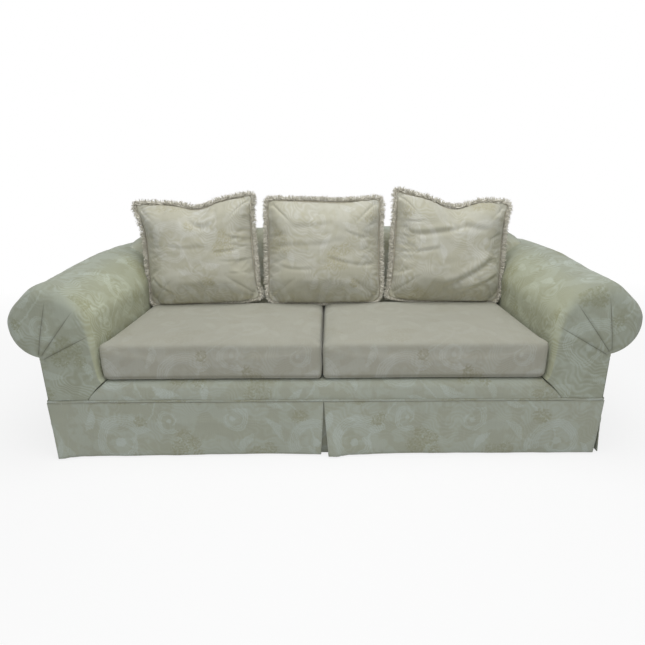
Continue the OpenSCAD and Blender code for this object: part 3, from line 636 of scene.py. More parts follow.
def joined(parts, merge=1e-5):
    """Puts bmeshes into one, and sews them where their points meet unless merge is 0."""
    whole = bmesh.new()
    for bm in parts:
        mesh = bpy.data.meshes.new("part")
        bm.to_mesh(mesh)
        bm.free()
        whole.from_mesh(mesh)
        bpy.data.meshes.remove(mesh)
    if merge:
        bmesh.ops.remove_doubles(whole, verts=whole.verts, dist=merge)
        bmesh.ops.recalc_face_normals(whole, faces=whole.faces)
    return whole


def facing_out(bm, outward, probe=None):
    """Turns a sheet's faces so that the probe, or else the first face, looks outward."""
    bmesh.ops.recalc_face_normals(bm, faces=bm.faces)
    face = next(iter(bm.faces)) if probe is None else probe
    if face.normal.dot(Vector(outward)) < 0:
        bmesh.ops.reverse_faces(bm, faces=bm.faces)
    return bm


def dressed(piece, body, material, nodes=(), thick=0.0, smoother=0):
    """Gives a finished mesh its material, body and slot, and hides the nodes that it stands for."""
    piece.data.materials.clear()
    piece.data.materials.append(material)
    if smoother:
        finer = piece.modifiers.new("finer", "SUBSURF")
        finer.levels = finer.render_levels = smoother
    if thick:
        shell = piece.modifiers.new("thickness", "SOLIDIFY")
        shell.thickness, shell.offset = thick, -1
    if nodes:
        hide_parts(*nodes)
    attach(piece, body)
    return piece


# %% Even steps along a line of points
def steps(points, count):
    """Where count equal steps along a line fall, each as an index and a share of the next segment."""
    lengths = [(Vector(b) - Vector(a)).length for a, b in zip(points, points[1:])]
    total, found, i, passed = sum(lengths), [], 0, 0.0
    for k in range(count + 1):
        goal = total * k / count
        while i < len(lengths) - 1 and passed + lengths[i] < goal:
            passed += lengths[i]
            i += 1
        found.append((i, (goal - passed) / max(lengths[i], 1e-9)))
    return found, total


def on_line(points, step):
    """The point of a line at one of its steps."""
    i, share = step
    return Vector(points[i]).lerp(Vector(points[i + 1]), min(1.0, max(0.0, share)))


# %% [markdown]
# ## The rolled arms
#
# An arm's cover rises from the seat, rolls over a padded board and is tacked under the roll, at the pinch. At the
# front the same cloth is drawn over a round post head, and its fullness is laid in three pleats that meet at the
# pinch. Below them a flat front runs down and curves round the end of the lip. One outline, drawn in step by step
# towards the front, gives the whole form, and the pleats are pressed into it afterwards.

# %% The outline of an arm
ARM_ROUND = 0.070
SEAT_PRESS = 0.014
PRESS_TOP_Z = 0.60


def arm_edge(angle):
    """How much of the front's rounding each part of the roll gets."""
    if angle > 90:
        return 1 - 0.65 * (angle - 90) / 90
    return 1.0 if angle > 0 else 1 + 0.85 * angle / 90


def pressed_by_seat(z):
    """How far the seat cushions press into the arms' inner sides at a height."""
    rise = 0.7 * smooth((z - LIP_Z) / 0.014) + 0.3 * smooth((z - LIP_Z) / 0.08)
    return SEAT_PRESS * rise * smooth((PRESS_TOP_Z - z) / 0.10)


def arm_outline(top, inset, edge, sloped=0.0):
    """The section of an arm. sloped is how far the roll's upper outer quarter falls away."""
    inner, outer = INNER_X + inset, TRUNK_X - inset - 0.03 * edge
    points = [(inner + LIP_FLARE, z) for z in (SEAM_Z, BAND_TOP_Z + 0.001)]
    points += [(inner + LIP_FLARE * (1 - s) + 0.020 * s * (1 - s) + edge * lerp(0.0, 0.12, s ** 2),
                lerp(BAND_TOP_Z, LIP_Z, s)) for s in (0.2, 0.4, 0.6, 0.8, 1.0)]
    points += [(inner + edge * lerp(0.12, 0.35, s) + pressed_by_seat(lerp(LIP_Z, ARM_SPRING_Z, s)),
                lerp(LIP_Z, ARM_SPRING_Z, s)) for s in (0.04, 0.09, 0.2, 0.4, 0.6, 0.8)]
    for angle in range(180, -91, -3):
        drawn = inset + edge * arm_edge(angle)
        if angle > 90:
            centre, width, height = (CREST_X, ARM_SPRING_Z), CREST_X - INNER_X, top - ARM_SPRING_Z
        elif angle > 0:
            centre, width, height = (CREST_X, ROLL_MID_Z), ROLL_X - CREST_X, top - ROLL_MID_Z
            drawn += sloped * math.sin(math.radians(2 * angle)) ** 2
        else:
            centre, width, height = (TRUNK_X, ROLL_MID_Z), ROLL_X - TRUNK_X, ROLL_MID_Z - PINCH_Z
        a = math.radians(angle)
        x, z = centre[0] + (width - drawn) * math.cos(a), centre[1] + (height - drawn) * math.sin(a)
        points.append((x + pressed_by_seat(z) * (angle > 90), z))
    points += [(outer + 0.004, PINCH_Z - 0.003), (outer, PINCH_Z - 0.012), (outer, SEAM_Z)]
    return points


def arm_top(reach):
    """The height of an arm's crest at a distance behind its front."""
    rise = max(0.0, min(1.0, (reach - 0.17) / 0.52))
    return lerp(ARM_FRONT_Z, ARM_REAR_Z, (rise + smooth(rise)) / 2) - 0.009 * smooth((reach - 0.52) / 0.20)


# %% Rings from the rear of the arm to the middle of its front
ARM_HUB = (TRUNK_X - 0.030, 0.440)
ARM_PITCH = 0.012
FACE_RINGS = 34
REAR_RINGS = 12
REAR_ROUND = 0.012
REAR_ANGLES = (0, 30, 60)
FRONT_ANGLES = (80, 70, 60, 50, 40, 30, 20, 10, 0)


def arm_rings(inset, pitch):
    """Each ring as its outline, its y and how far its points have closed in on the hub, from 1 to 0. Gives also
    the ring at which the front's flat face starts."""
    rear_y = REAR_Y - 0.003 - inset
    length = rear_y - REAR_ROUND - FRONT_Y - ARM_ROUND
    count = round(length / pitch)

    def ring(reach, edge, y):
        sloped = 0.017 * smooth((0.24 - reach) / 0.17)
        return arm_outline(arm_top(reach), inset, edge, sloped), y, 1.0

    # The cloth closes the rear end too, with a small rounding
    rear = arm_outline(arm_top(rear_y - FRONT_Y), inset, REAR_ROUND)
    rings = [(rear, rear_y, k / REAR_RINGS) for k in range(REAR_RINGS)]
    for angle in REAR_ANGLES:
        a = math.radians(angle)
        y = rear_y - REAR_ROUND * (1 - math.cos(a))
        rings.append((arm_outline(arm_top(y - FRONT_Y), inset, REAR_ROUND * (1 - math.sin(a))), y, 1.0))
    for k in range(count + 1):
        reach = ARM_ROUND + length * (1 - k / count)
        rings.append(ring(reach, 0.0, FRONT_Y + reach))
    for angle in FRONT_ANGLES:
        a = math.radians(angle)
        reach = ARM_ROUND * (1 - math.cos(a)) + inset * math.cos(a)
        rings.append(ring(reach, (ARM_ROUND - inset) * (1 - math.sin(a)), FRONT_Y + reach))
    face, face_start = round(FACE_RINGS * ARM_PITCH / pitch), len(rings) - 1
    rings += [(rings[-1][0], FRONT_Y + inset, 1 - (k + 1) / face) for k in range(face)]
    return rings, face_start


def press_pleats(point, side, facing):
    """Presses the pleats into the front, and says how much shade lies in them."""
    shade, push = 0.0, 0.0
    for start, end, depth in PLEATS[side]:
        run = Vector(end) - Vector(start)
        rel = Vector((point.x, point.z)) - Vector(start)
        along = rel.dot(run) / run.length_squared
        away = (run.x * rel.y - run.y * rel.x) / run.length * side
        # Both ends of a pleat fade out
        window = smooth((along + 0.10) / 0.10) * smooth((1.05 - along) / 0.45)
        push += window * depth * (0.0040 * bell(away, 0.0050) - 0.0040 * bell(away - 0.016, 0.014))
        shade += window * bell(away, 0.0060) * 0.22
    return push * facing, min(1.0, shade) * facing


# %% Wrap and dress both arms
def arm_form(side, inset=0.0, pitch=ARM_PITCH, around=250, soft=1.0):
    """An arm's cover, or the padding under it, which is plainer: soft is how uneven the stuffing makes it."""
    rings, face_start = arm_rings(inset, pitch)
    stations, girth = steps(rings[0][0] + [rings[0][0][0]], around)
    lines = {}
    for j, (outline, y, closing) in enumerate(rings):
        closed = outline + [outline[0]]
        for i in range(around):
            flat = on_line(closed, stations[i])
            x = lerp(ARM_HUB[0], flat.x, closing)
            z = lerp(ARM_HUB[1], flat.y, closing)
            point = Vector((x * side, y, z))
            roll = smooth((z - PINCH_Z) / 0.10)
            if closing < 1.0 and j >= face_start:
                point.y -= 0.008 * roll * (1 - closing ** 2) * soft
            facing = smooth((FRONT_Y + 0.045 - y) / 0.030)
            push, shade = press_pleats(point, side, facing) if soft and facing else (0.0, 0.0)
            point.y += push
            if closing == 1.0 and soft:
                # Stuffing is never quite even
                uneven = ripple((point.x, point.y, point.z), 5.0, 3.0 + side) * 0.0035 - side * 0.0018
                uneven += ripple((point.x, point.y * 0.6, point.z), 13.0, 7.0 + side) * 0.0020
                uneven += ripple((point.x, point.y * 2.2 + point.z, point.z), 21.0, 2.0 + side) * 0.0010
                out = Vector((point.x - side * CREST_X, 0, point.z - ROLL_MID_Z)).normalized()
                point += out * uneven * smooth((z - LIP_Z) / 0.1) * smooth((y - FRONT_Y) / 0.06)
            lines[i, j] = point, shade
    for j in range(len(rings)):
        lines[around, j] = lines[0, j]
    bottom = next(i for i in range(around) if stations[i][0] >= len(rings[0][0]) - 1)

    def flat(i, j, low):
        point = lines[i, j][0]
        # The ends have a flat map, which at the front starts halfway round the edge
        if low[1] >= face_start - 5 or low[1] < REAR_RINGS:
            return point.x, point.z
        return girth * i / around + side * 0.31, (point.y - FRONT_Y) + side * 0.17

    # The cover is open under the arm, where the rails are
    opening = range(REAR_RINGS + len(REAR_ANGLES), face_start - len(FRONT_ANGLES))
    bm = wrapped(around, len(rings) - 1, lambda i, j: lines[i, j][0], flat, lambda i, j: lines[i, j][1],
                 lambda i, j: i >= bottom and j in opening)
    if side > 0:
        bmesh.ops.reverse_faces(bm, faces=bm.faces)
    return bm


def closed_up(bm):
    """Fills what is open, and turns the faces outward."""
    open_edges = [edge for edge in bm.edges if edge.is_boundary]
    bmesh.ops.holes_fill(bm, edges=open_edges)
    bmesh.ops.recalc_face_normals(bm, faces=bm.faces)
    return bm


for side, word in ((-1, "left"), (1, "right")):
    cover = settled(f"arm_damask_{word}", arm_form(side))
    dressed(cover, "sofa_body", ARM_DAMASK, [f"arm_cover_{word}"], thick=0.002)
    pad = settled(f"arm_padding_{word}", closed_up(arm_form(side, 0.006, 0.040, 90, 0.0)))
    dressed(pad, "sofa_body", COTTON, [f"arm_pad_{word}"])
    print(cover.name, "has", len(cover.data.polygons), "faces")

# %% [markdown]
# ## The lip and the low back
#
# The lip is the padded roll that shows under the seat cushions. It is a strip of cloth over felt, pulled over the
# front rail, and its ends spread where the arms curve away. The inside back leans and rolls over the top rail, and
# its two upper corners are rounded. Both are strips wrapped round a section, so both start as a grid.

# %% Wrap the lip
LIP_NOSE = 0.034
LIP_DEPTH = lip_high[1] - lip_low[1]


def lip_section(inset):
    """The lip's section in y and z, from the skirt's seam over the nose to the seat deck."""
    points = [(FRONT_Y + inset - 0.003 * math.sin(math.pi * s), lerp(SEAM_Z, LIP_Z - LIP_NOSE, s))
              for s in (0, 0.15, 0.3, 0.45, 0.6, 0.75, 0.9)]
    points += [(FRONT_Y + LIP_NOSE - (LIP_NOSE - inset) * math.cos(math.radians(a)),
                LIP_Z - LIP_NOSE + (LIP_NOSE - inset) * math.sin(math.radians(a))) for a in range(0, 91, 10)]
    return points + [(FRONT_Y + LIP_DEPTH * s, LIP_Z - inset) for s in (0.6, 0.8, 1.0)]


def lip_half_width(z):
    """Half the lip's width at a height. It ends where the arms' fronts flare."""
    s = max(0.0, (z - BAND_TOP_Z) / (LIP_Z - BAND_TOP_Z))
    return INNER_X + LIP_FLARE * (1 - s) + 0.020 * s * (1 - s) - 0.0003 - 0.0012 * s


def lip_form(inset, across, along):
    """The lip's strip, a little uneven, and turned in at its two ends."""
    section = lip_section(inset)
    stations, girth = steps(section, along)

    def place(i, j):
        y, z = on_line(section, stations[j])
        half = lip_half_width(z) - inset
        x = half * (2 * i / across - 1)
        from_end = half - abs(x)
        y += 0.0030 * max(0.0, 1 - from_end / 0.009) ** 2 * smooth((LIP_Z - z) / 0.02 + 0.4)
        swell = ripple((x, y, z), 6.0, 11.0) * 0.0022 + ripple((x, y, z), 19.0, 5.0) * 0.0007
        return Vector((x, y + swell * (z < LIP_Z - 0.004), z))

    # The fold attribute paints a line of shade at the lip's foot, along the skirt's seam
    return wrapped(across, along, place, lambda i, j, _: (place(i, j).x + 0.12, girth * j / along + 0.02),
                   lambda i, j: bell(j * girth / along, 0.003) * 0.5)


lip = settled("lip_damask", lip_form(0.0, 300, 26))
dressed(lip, "sofa_body", DAMASK, ["lip_cover"], thick=0.002)
lip_felt = settled("lip_padding", closed_up(lip_form(0.005, 60, 10)))
dressed(lip_felt, "sofa_body", COTTON, ["lip_pad"])

# %% Wrap the back
BACK_HALF_W = back_high[0]
BACK_TOP_Z = back_high[2]
BACK_FOOT_Z = back_low[2]
BACK_CORNER_W, BACK_CORNER_H = 0.26, 0.10
BACK_HUB = Vector((0.33, 0.55))  # the y and z that the back's two ends close in on
BACK_ROLL = (((REAR_Y - BACK_FOOT_Y) * math.cos(LEAN) - (BACK_TOP_Z - LIP_Z) * math.sin(LEAN))
             / (1 + math.cos(LEAN) - math.sin(LEAN)))


def slope_y(z):
    """Where the back's slope is at a height."""
    return BACK_FOOT_Y + (z - LIP_Z) * math.tan(LEAN)


def back_section(inset, lowered):
    """The back's section in y and z, from its foot up the slope, over the roll and down behind."""
    centre_y, centre_z = REAR_Y - BACK_ROLL, BACK_TOP_Z - BACK_ROLL
    points = [(slope_y(BACK_FOOT_Z) + inset / math.cos(LEAN), BACK_FOOT_Z)]
    for k in range(25):
        a = (math.pi - LEAN) * (1 - k / 24)
        points.append((centre_y + (BACK_ROLL - inset) * math.cos(a),
                       centre_z + (BACK_ROLL - inset - lowered) * math.sin(a)))
    return points + [(REAR_Y - inset, BACK_FOOT_Z)]


def back_form(inset, across, along, uneven):
    """Each column across the back is its x, how far its top is lowered and how far it has opened from the hub."""
    edge, lowest = BACK_HALF_W - inset, BACK_ROLL * 0.72
    ends = [(edge, lowest, closing) for closing in (0.0, 0.4, 0.8)]
    for a in map(math.radians, (18, 28, 38, 48, 58, 68, 78, 90)):
        ends.append((edge - BACK_CORNER_W * (1 - math.cos(a)), min(lowest, BACK_CORNER_H * (1 - math.sin(a))), 1.0))
    inner = ends[-1][0]
    count = across - 2 * len(ends) + 2
    middle = [(inner * (1 - 2 * k / count), 0.0, 1.0) for k in range(1, count)]
    columns = [(-x, low, c) for x, low, c in ends] + [(-x, low, c) for x, low, c in middle]
    columns += list(reversed(ends))
    stations, girth = steps(back_section(inset, 0.0), along)
    points = {}
    for i, (x, lowered, closing) in enumerate(columns):
        section = back_section(inset, lowered)
        for j in range(along + 1):
            flat = BACK_HUB.lerp(on_line(section, stations[j]), closing)
            point = Vector((x, flat.x, flat.y))
            if uneven:
                swell = ripple(point, 4.0, 21.0) * 0.003 + ripple(point, 12.0, 4.0) * 0.0012 - 0.002
                point += Vector((0, -math.cos(LEAN), math.sin(LEAN))) * min(0.0, swell) * closing
            points[i, j] = point
    return closed_up(wrapped(len(columns) - 1, along, lambda i, j: points[i, j],
                             lambda i, j, _: (points[i, j].x + 0.26, girth * j / along + 0.11), merge=2e-5))


back = settled("back_damask", back_form(0.0, 240, 110, True))
dressed(back, "sofa_body", BACK_DAMASK, ["inside_back_cover"])
back_felt = settled("back_padding", back_form(0.006, 60, 30, False))
dressed(back_felt, "sofa_body", COTTON, ["back_pad"])
print("Lip and back wrapped")

# %% [markdown]
# ## The outside panels and the linings
#
# Flat cloth closes the outside of the arms and the rear, and thinner cloths close the seat: burlap over the
# springs, a felt pad, a plain deck under the cushions and a black dust cloth underneath. They are stretched and
# tacked, so each is a thin sheet with hardly any slack. Straps of webbing carry the back's padding.

# %% Stretch the sheets
def sheet_form(low, high, normal, pitch, slack, seed):
    """A flat sheet in the box between two corners, facing along one axis, with a little slack in its middle."""
    face = "xyz".index(normal[-1])
    a, b = [k for k in range(3) if k != face]
    outward = -1 if normal[0] == "-" else 1
    across, along = max(2, round((high[a] - low[a]) / pitch)), max(2, round((high[b] - low[b]) / pitch))
    level = high[face] if outward > 0 else low[face]

    def place(i, j):
        point = [0.0, 0.0, 0.0]
        s, t = i / across, j / along
        point[a], point[b] = lerp(low[a], high[a], s), lerp(low[b], high[b], t)
        held = 16 * s * (1 - s) * t * (1 - t)
        wave = 0.5 + 0.5 * ripple((point[a], point[b], seed), 5.0, seed)
        point[face] = level - outward * slack * held * wave
        return Vector(point)

    def flat(i, j, _):
        point = place(i, j)
        return point[a] + seed * 0.1, point[b] + seed * 0.07

    return facing_out(wrapped(across, along, place, flat), [outward * (k == face) for k in range(3)])


def stretched(name, node, normal, pitch, thick, material, slack, seed):
    """A flat sheet that fills the box of one node and is tacked at its edges."""
    low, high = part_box(node)
    piece = settled(name, sheet_form(low, high, normal, pitch, slack, seed))
    dressed(piece, "sofa_body", material, [node], thick=thick)
    size = [h - l for l, h in zip(low, high)]
    del size["xyz".index(normal[-1])]


stretched("deck_cloth", "deck_cover", "+z", 0.03, 0.0015, DECKING, 0.003, 1.0)
stretched("spring_burlap", "seat_burlap", "+z", 0.03, 0.0012, JUTE, 0.001, 2.0)
stretched("dust_cloth", "dust_cover", "-z", 0.04, 0.0010, DUST_CLOTH, -0.001, 3.0)
for word, normal, seed in (("left", "-x", 4.0), ("right", "+x", 5.0)):
    stretched(f"outside_arm_panel_{word}", f"outside_arm_{word}", normal, 0.02, 0.002, DAMASK,
              0.0015, seed)

# %% The rear panel is cut round the arms
rear_low, rear_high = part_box("outside_back")
SHOULDER_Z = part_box("outside_arm_right")[1][2]


def rear_panel():
    """Wide at its foot and as wide as the back above the arms."""
    wing, foot = 3, 8  # columns that end at the arms, and rows below that end
    xs = [lerp(-TRUNK_X, -BACK_HALF_W, k / wing) for k in range(wing)]
    xs += [lerp(-BACK_HALF_W, BACK_HALF_W, k / 80) for k in range(81)] + [-x for x in reversed(xs)]
    zs = [lerp(SEAM_Z, SHOULDER_Z, k / foot) for k in range(foot)]
    zs += [lerp(SHOULDER_Z, rear_high[2], k / 14) for k in range(15)]

    def place(i, j):
        held = max(0.0, 1 - (xs[i] / TRUNK_X) ** 2) * math.sin(math.pi * j / (len(zs) - 1))
        wave = 0.5 + 0.5 * ripple((xs[i], zs[j], 0), 4.0, 8.0)
        return Vector((xs[i], rear_high[1] - 0.002 * held * wave, zs[j]))

    bm = wrapped(len(xs) - 1, len(zs) - 1, place, lambda i, j, _: (0.7 - xs[i], zs[j]),
                 drop=lambda i, j: j >= foot and (i < wing or i >= len(xs) - 1 - wing))
    return facing_out(bm, (0, 1, 0))


rear = settled("outside_back_panel", rear_panel())
dressed(rear, "sofa_body", DAMASK, ["outside_back"], thick=0.002)

# %% The felt under the seat deck and the webbing of the back
def felt_slab(name, node):
    """A slab of felt with rounded edges that fills the box of one node."""
    low, high = [Vector(corner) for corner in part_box(node)]
    bm = bmesh.new()
    bmesh.ops.create_cube(bm, size=1.0, matrix=Matrix.Translation((low + high) / 2)
                          @ Matrix.Diagonal(list(high - low) + [1.0]))
    bmesh.ops.bevel(bm, geom=bm.edges[:], offset=0.008, segments=3, profile=0.5, affect="EDGES", material=-1)
    bmesh.ops.bisect_plane(bm, geom=bm.verts[:] + bm.edges[:] + bm.faces[:], plane_co=(0, 0, 0), plane_no=(1, 0, 0))
    return settled(name, bm)


dressed(felt_slab("deck_padding", "deck_pad"), "sofa_body", COTTON, ["deck_pad"])

web_low, web_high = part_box("back_webbing")
STRAP_W, STRAPS = 0.050, 9


def webbing_form():
    """Nine straps from the tack rail to the top rail, each pressed a little backwards by the padding."""
    straps = []
    pitch = (web_high[0] - web_low[0] - STRAP_W) / (STRAPS - 1)
    run = web_high[1] - web_low[1]
    across, along = 4, 20
    for k in range(STRAPS):
        left = web_low[0] + k * pitch

        def place(i, j):
            t = j / along
            return Vector((left + STRAP_W * i / across, web_low[1] + run * t + 0.006 * math.sin(math.pi * t),
                           lerp(web_low[2], web_high[2], t)))

        straps.append(wrapped(across, along, place, lambda i, j, _: (STRAP_W * i / across, 0.46 * j / along)))
    whole = joined(straps, 0)
    bmesh.ops.recalc_face_normals(whole, faces=whole.faces)
    return whole


webbing = settled("back_straps", webbing_form())
dressed(webbing, "sofa_body", WEBBING, ["back_webbing"], thick=0.0018)
print("Panels and linings stretched")

# %% [markdown]
# ## The skirt
#
# A tailored skirt hangs straight from a seam under a narrow flat band, and opens only at inverted pleats: one in
# the middle of the front and one at each corner. Each panel is one strip of cloth whose ends fold back behind the
# pleat. Here the strip follows a line drawn on the floor plan, and its hem is let out where the real cloth leans.

# %% The flat band over the seam
def ring_line(half_x, half_y, radius):
    """A closed line round the sofa with rounded corners, counter-clockwise from above."""
    points = []
    for quarter, (sx, sy) in enumerate(((1, -1), (1, 1), (-1, 1), (-1, -1))):
        for k in range(6):
            a = math.radians(-90 + 90 * quarter + 18 * k)
            points.append((sx * (half_x - radius) + radius * math.cos(a),
                           sy * (half_y - radius) + radius * math.sin(a)))
    return points + [points[0]]


def band_form():
    """The band's section, swept round the sofa. It is turned under at both edges and sags a little in front."""
    height = BAND_TOP_Z - SEAM_Z
    proud = band_high[0] - HALF_W
    profile = [(0.0, 0.0), (0.85, 0.03), (1.0, 0.18), (1.0, 0.5), (1.0, 0.82), (0.85, 0.97), (0.0, 1.0)]
    line = ring_line(band_high[0], band_high[1], 0.008)
    around = 900
    stations, length = steps(line, around)

    def place(i, j):
        out, up = profile[j]
        x, y = on_line(line, stations[i % around])
        outward = Vector((x - max(-HALF_W + 0.02, min(HALF_W - 0.02, x)),
                          y - max(-0.465, min(0.465, y)))).normalized()
        slack = 0.0022 * bell(abs(x) - 1.02, 0.05) * (y < 0) + 0.0006 * ripple((x, y, 0), 9.0, 2.0)
        pull = proud * (1 - out)
        return Vector((x - outward.x * pull, y - outward.y * pull, SEAM_Z + height * up - slack))

    # The fold attribute paints shade at the band's two turned-under edges
    return wrapped(around, len(profile) - 1, place,
                   lambda i, j, _: (length * i / around, 0.4 + height * profile[j][1]),
                   lambda i, j: (0.8, 0.5, 0.15, 0, 0.1, 0.35, 0.7)[j])


band = settled("skirt_seam_band", closed_up(band_form()))
dressed(band, "sofa_body", DAMASK, ["skirt_band"])

# %% Hang the skirt's panels
SKIRT_TOP_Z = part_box("skirt_back")[1][2]
HEM_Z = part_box("skirt_back")[0][2]
SKIRT_X, SKIRT_Y = band_high[0], band_high[1]
LAYER = 0.0035
RETURN = 0.060
PLEAT_X = 0.004
# How far the front's hem leans out at each place across, left and right of the middle pleat
FRONT_LEAN = [(-1.10, 0.036), (-1.06, 0.034), (-1.02, 0.026), (-0.97, 0.018), (-0.90, 0.015), (-0.80, 0.016),
              (-0.63, 0.011), (-0.43, 0.006), (-0.24, 0.002), (-0.14, 0.004), (-0.05, 0.008), (0.0, 0.009)]
FRONT_LEAN_RIGHT = [(0.0, 0.026), (0.04, 0.028), (0.07, 0.020), (0.10, 0.013), (0.15, 0.008), (0.25, 0.003),
                    (0.40, 0.001), (0.63, 0.002), (0.80, 0.0), (1.10, 0.001)]


def table(rows, x):
    """Reads a value between the rows of (x, value) on each side of x."""
    for (x0, y0), (x1, y1) in zip(rows, rows[1:]):
        if x <= x1:
            return lerp(y0, y1, smooth((x - x0) / (x1 - x0)))
    return rows[-1][1]


def strip_plan(a, b):
    """A panel's plan along a straight run from a to b, with a return folded behind each end. Behind is to the
    left of the run."""
    run = (b - a).normalized()
    behind = Vector((-run.y, run.x)) * LAYER
    points = [a + run * RETURN + behind, a + run * 0.002 + behind, a + behind * 0.5, a + run * 0.0015,
              b - run * 0.0015, b + behind * 0.5, b - run * 0.002 + behind, b - run * RETURN + behind]
    return points, run, -behind.normalized()


def skirt_form(start, end, lean, shift, seed):
    """A panel from its seam to its hem. lean and shift say how far the hem moves out and along at each place."""
    origin = Vector(start)
    plan, run, out = strip_plan(origin, Vector(end))
    total = (Vector(end) - origin).length
    marks, knots = [0.0], [0.0]
    for a, b in zip(plan, plan[1:]):
        gap = (b - a).length
        cuts = max(1, round(gap / 0.012))
        marks += [marks[-1] + gap * (k + 1) / cuts for k in range(cuts)]
        knots.append(knots[-1] + gap)
    rows = 22

    def base(i):
        goal = marks[i]
        k = max(n for n in range(len(plan) - 1) if knots[n] <= goal + 1e-9)
        return plan[k].lerp(plan[k + 1], (goal - knots[k]) / max(1e-9, knots[k + 1] - knots[k]))

    bases = [base(i) for i in range(len(marks))]

    def place(i, j):
        t = j / rows
        flat = bases[i]
        along = (flat - origin).dot(run)
        leaning = lean(along) * t ** 1.5 + 0.0016 * bell(t - 0.38, 0.05)
        slide = shift(along) * t ** 1.3 if shift else 0.0
        wave = 0.0028 * ripple((flat.x, flat.y, t * 0.12), 7.0, seed) * t
        wave += 0.0012 * ripple((flat.x, flat.y, t), 23.0, seed) * t
        moved = flat + out * (leaning + wave) + run * slide
        return Vector((moved.x, moved.y, lerp(SKIRT_TOP_Z, HEM_Z, t)))

    # The fold attribute paints shade at the skirt's top, under the band, and a line of shade near the hem
    bm = wrapped(len(marks) - 1, rows, place,
                 lambda i, j, _: (marks[i] + seed, 0.33 - (SKIRT_TOP_Z - HEM_Z) * j / rows),
                 lambda i, j: 0.35 * bell(j / rows, 0.02) + 0.3 * bell((j / rows - 0.93), 0.012))
    probe = min(bm.faces, key=lambda f: (f.calc_center_median().xy - (origin + run * total / 2)).length)
    return facing_out(bm, out.to_3d(), probe), knots[-1]


def hang(name, node, start, end, lean, shift, seed):
    """Makes one panel of the skirt and hangs it from the band."""
    bm, width = skirt_form(start, end, lean, shift, seed)
    piece = settled(name, bm)
    dressed(piece, "sofa_body", DAMASK, [node], thick=0.0016)


hang("skirt_panel_front_left", "skirt_front_left", (-SKIRT_X, -SKIRT_Y), (PLEAT_X - 0.0008, -SKIRT_Y),
     lambda s: table(FRONT_LEAN, s - SKIRT_X),
     lambda s: 0.026 * bell(s, 0.05) - 0.012 * bell(s - SKIRT_X, 0.03), 0.10)
hang("skirt_panel_front_right", "skirt_front_right", (PLEAT_X + 0.0008, -SKIRT_Y), (SKIRT_X, -SKIRT_Y),
     lambda s: table(FRONT_LEAN_RIGHT, s), lambda s: 0.016 * bell(s, 0.06) - 0.010 * bell(s - SKIRT_X, 0.04), 1.37)
side_low, side_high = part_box("skirt_right")
hang("skirt_panel_right", "skirt_right", (SKIRT_X, side_low[1]), (SKIRT_X, side_high[1]),
     lambda s: 0.003 + 0.010 * bell(s, 0.12), None, 2.9)
hang("skirt_panel_left", "skirt_left", (-SKIRT_X, side_high[1]), (-SKIRT_X, side_low[1]),
     lambda s: 0.003 - 0.010 * bell(s - 0.96, 0.10), None, 4.1)
hang("skirt_panel_back", "skirt_back", (SKIRT_X, SKIRT_Y), (-SKIRT_X, SKIRT_Y), lambda s: 0.003, None, 5.3)

# %% The cloth behind each pleat
PLEAT_REACH = RETURN + 0.008


def pleat_backs():
    """A flat backing behind the middle pleat and an angled one behind each corner."""
    backings = []
    middle_y = -SKIRT_Y + 2 * LAYER + 0.0006
    plans = [[(PLEAT_X - PLEAT_REACH, middle_y), (PLEAT_X + PLEAT_REACH, middle_y)]]
    x = SKIRT_X - 2 * LAYER - 0.0006
    for sx in (-1, 1):
        for y, inwards in ((side_low[1] + 0.0008, 1), (side_high[1] - 0.0008, -1)):
            plan = [(sx * (x - PLEAT_REACH + 0.003), y), (sx * x, y), (sx * x, y + inwards * PLEAT_REACH)]
            plans.append(plan if sx * inwards > 0 else plan[::-1])
    across, along = 16, 12
    for plan in plans:
        stations, length = steps(plan, across)

        def place(i, j):
            x, y = on_line(plan, stations[i])
            return Vector((x, y, lerp(SKIRT_TOP_Z, HEM_Z, j / along)))

        # The fold attribute paints the backings evenly in shade
        backings.append(wrapped(across, along, place,
                                lambda i, j, _: (length * i / across, 0.2 - 0.23 * j / along),
                                lambda i, j: 0.35))
    return joined(backings, 0)


pleats = settled("skirt_pleat_backs", pleat_backs())
dressed(pleats, "sofa_body", DAMASK, ["skirt_pleats"], thick=0.0014)
print("Skirt hung")

# %% [markdown]
# ## Letting cloth find its shape
#
# A cushion's cover is cut a little larger than its filling, and the filling presses it out. Blender's cloth can do
# the same: the mesh is given some pressure from inside, its seam or its underside is held, and after a few frames
# it has found its own bulges and creases. How far a point may move is capped, so that the piece stays in its
# place. The result is written back into the mesh, and nothing of the simulation is left on it.

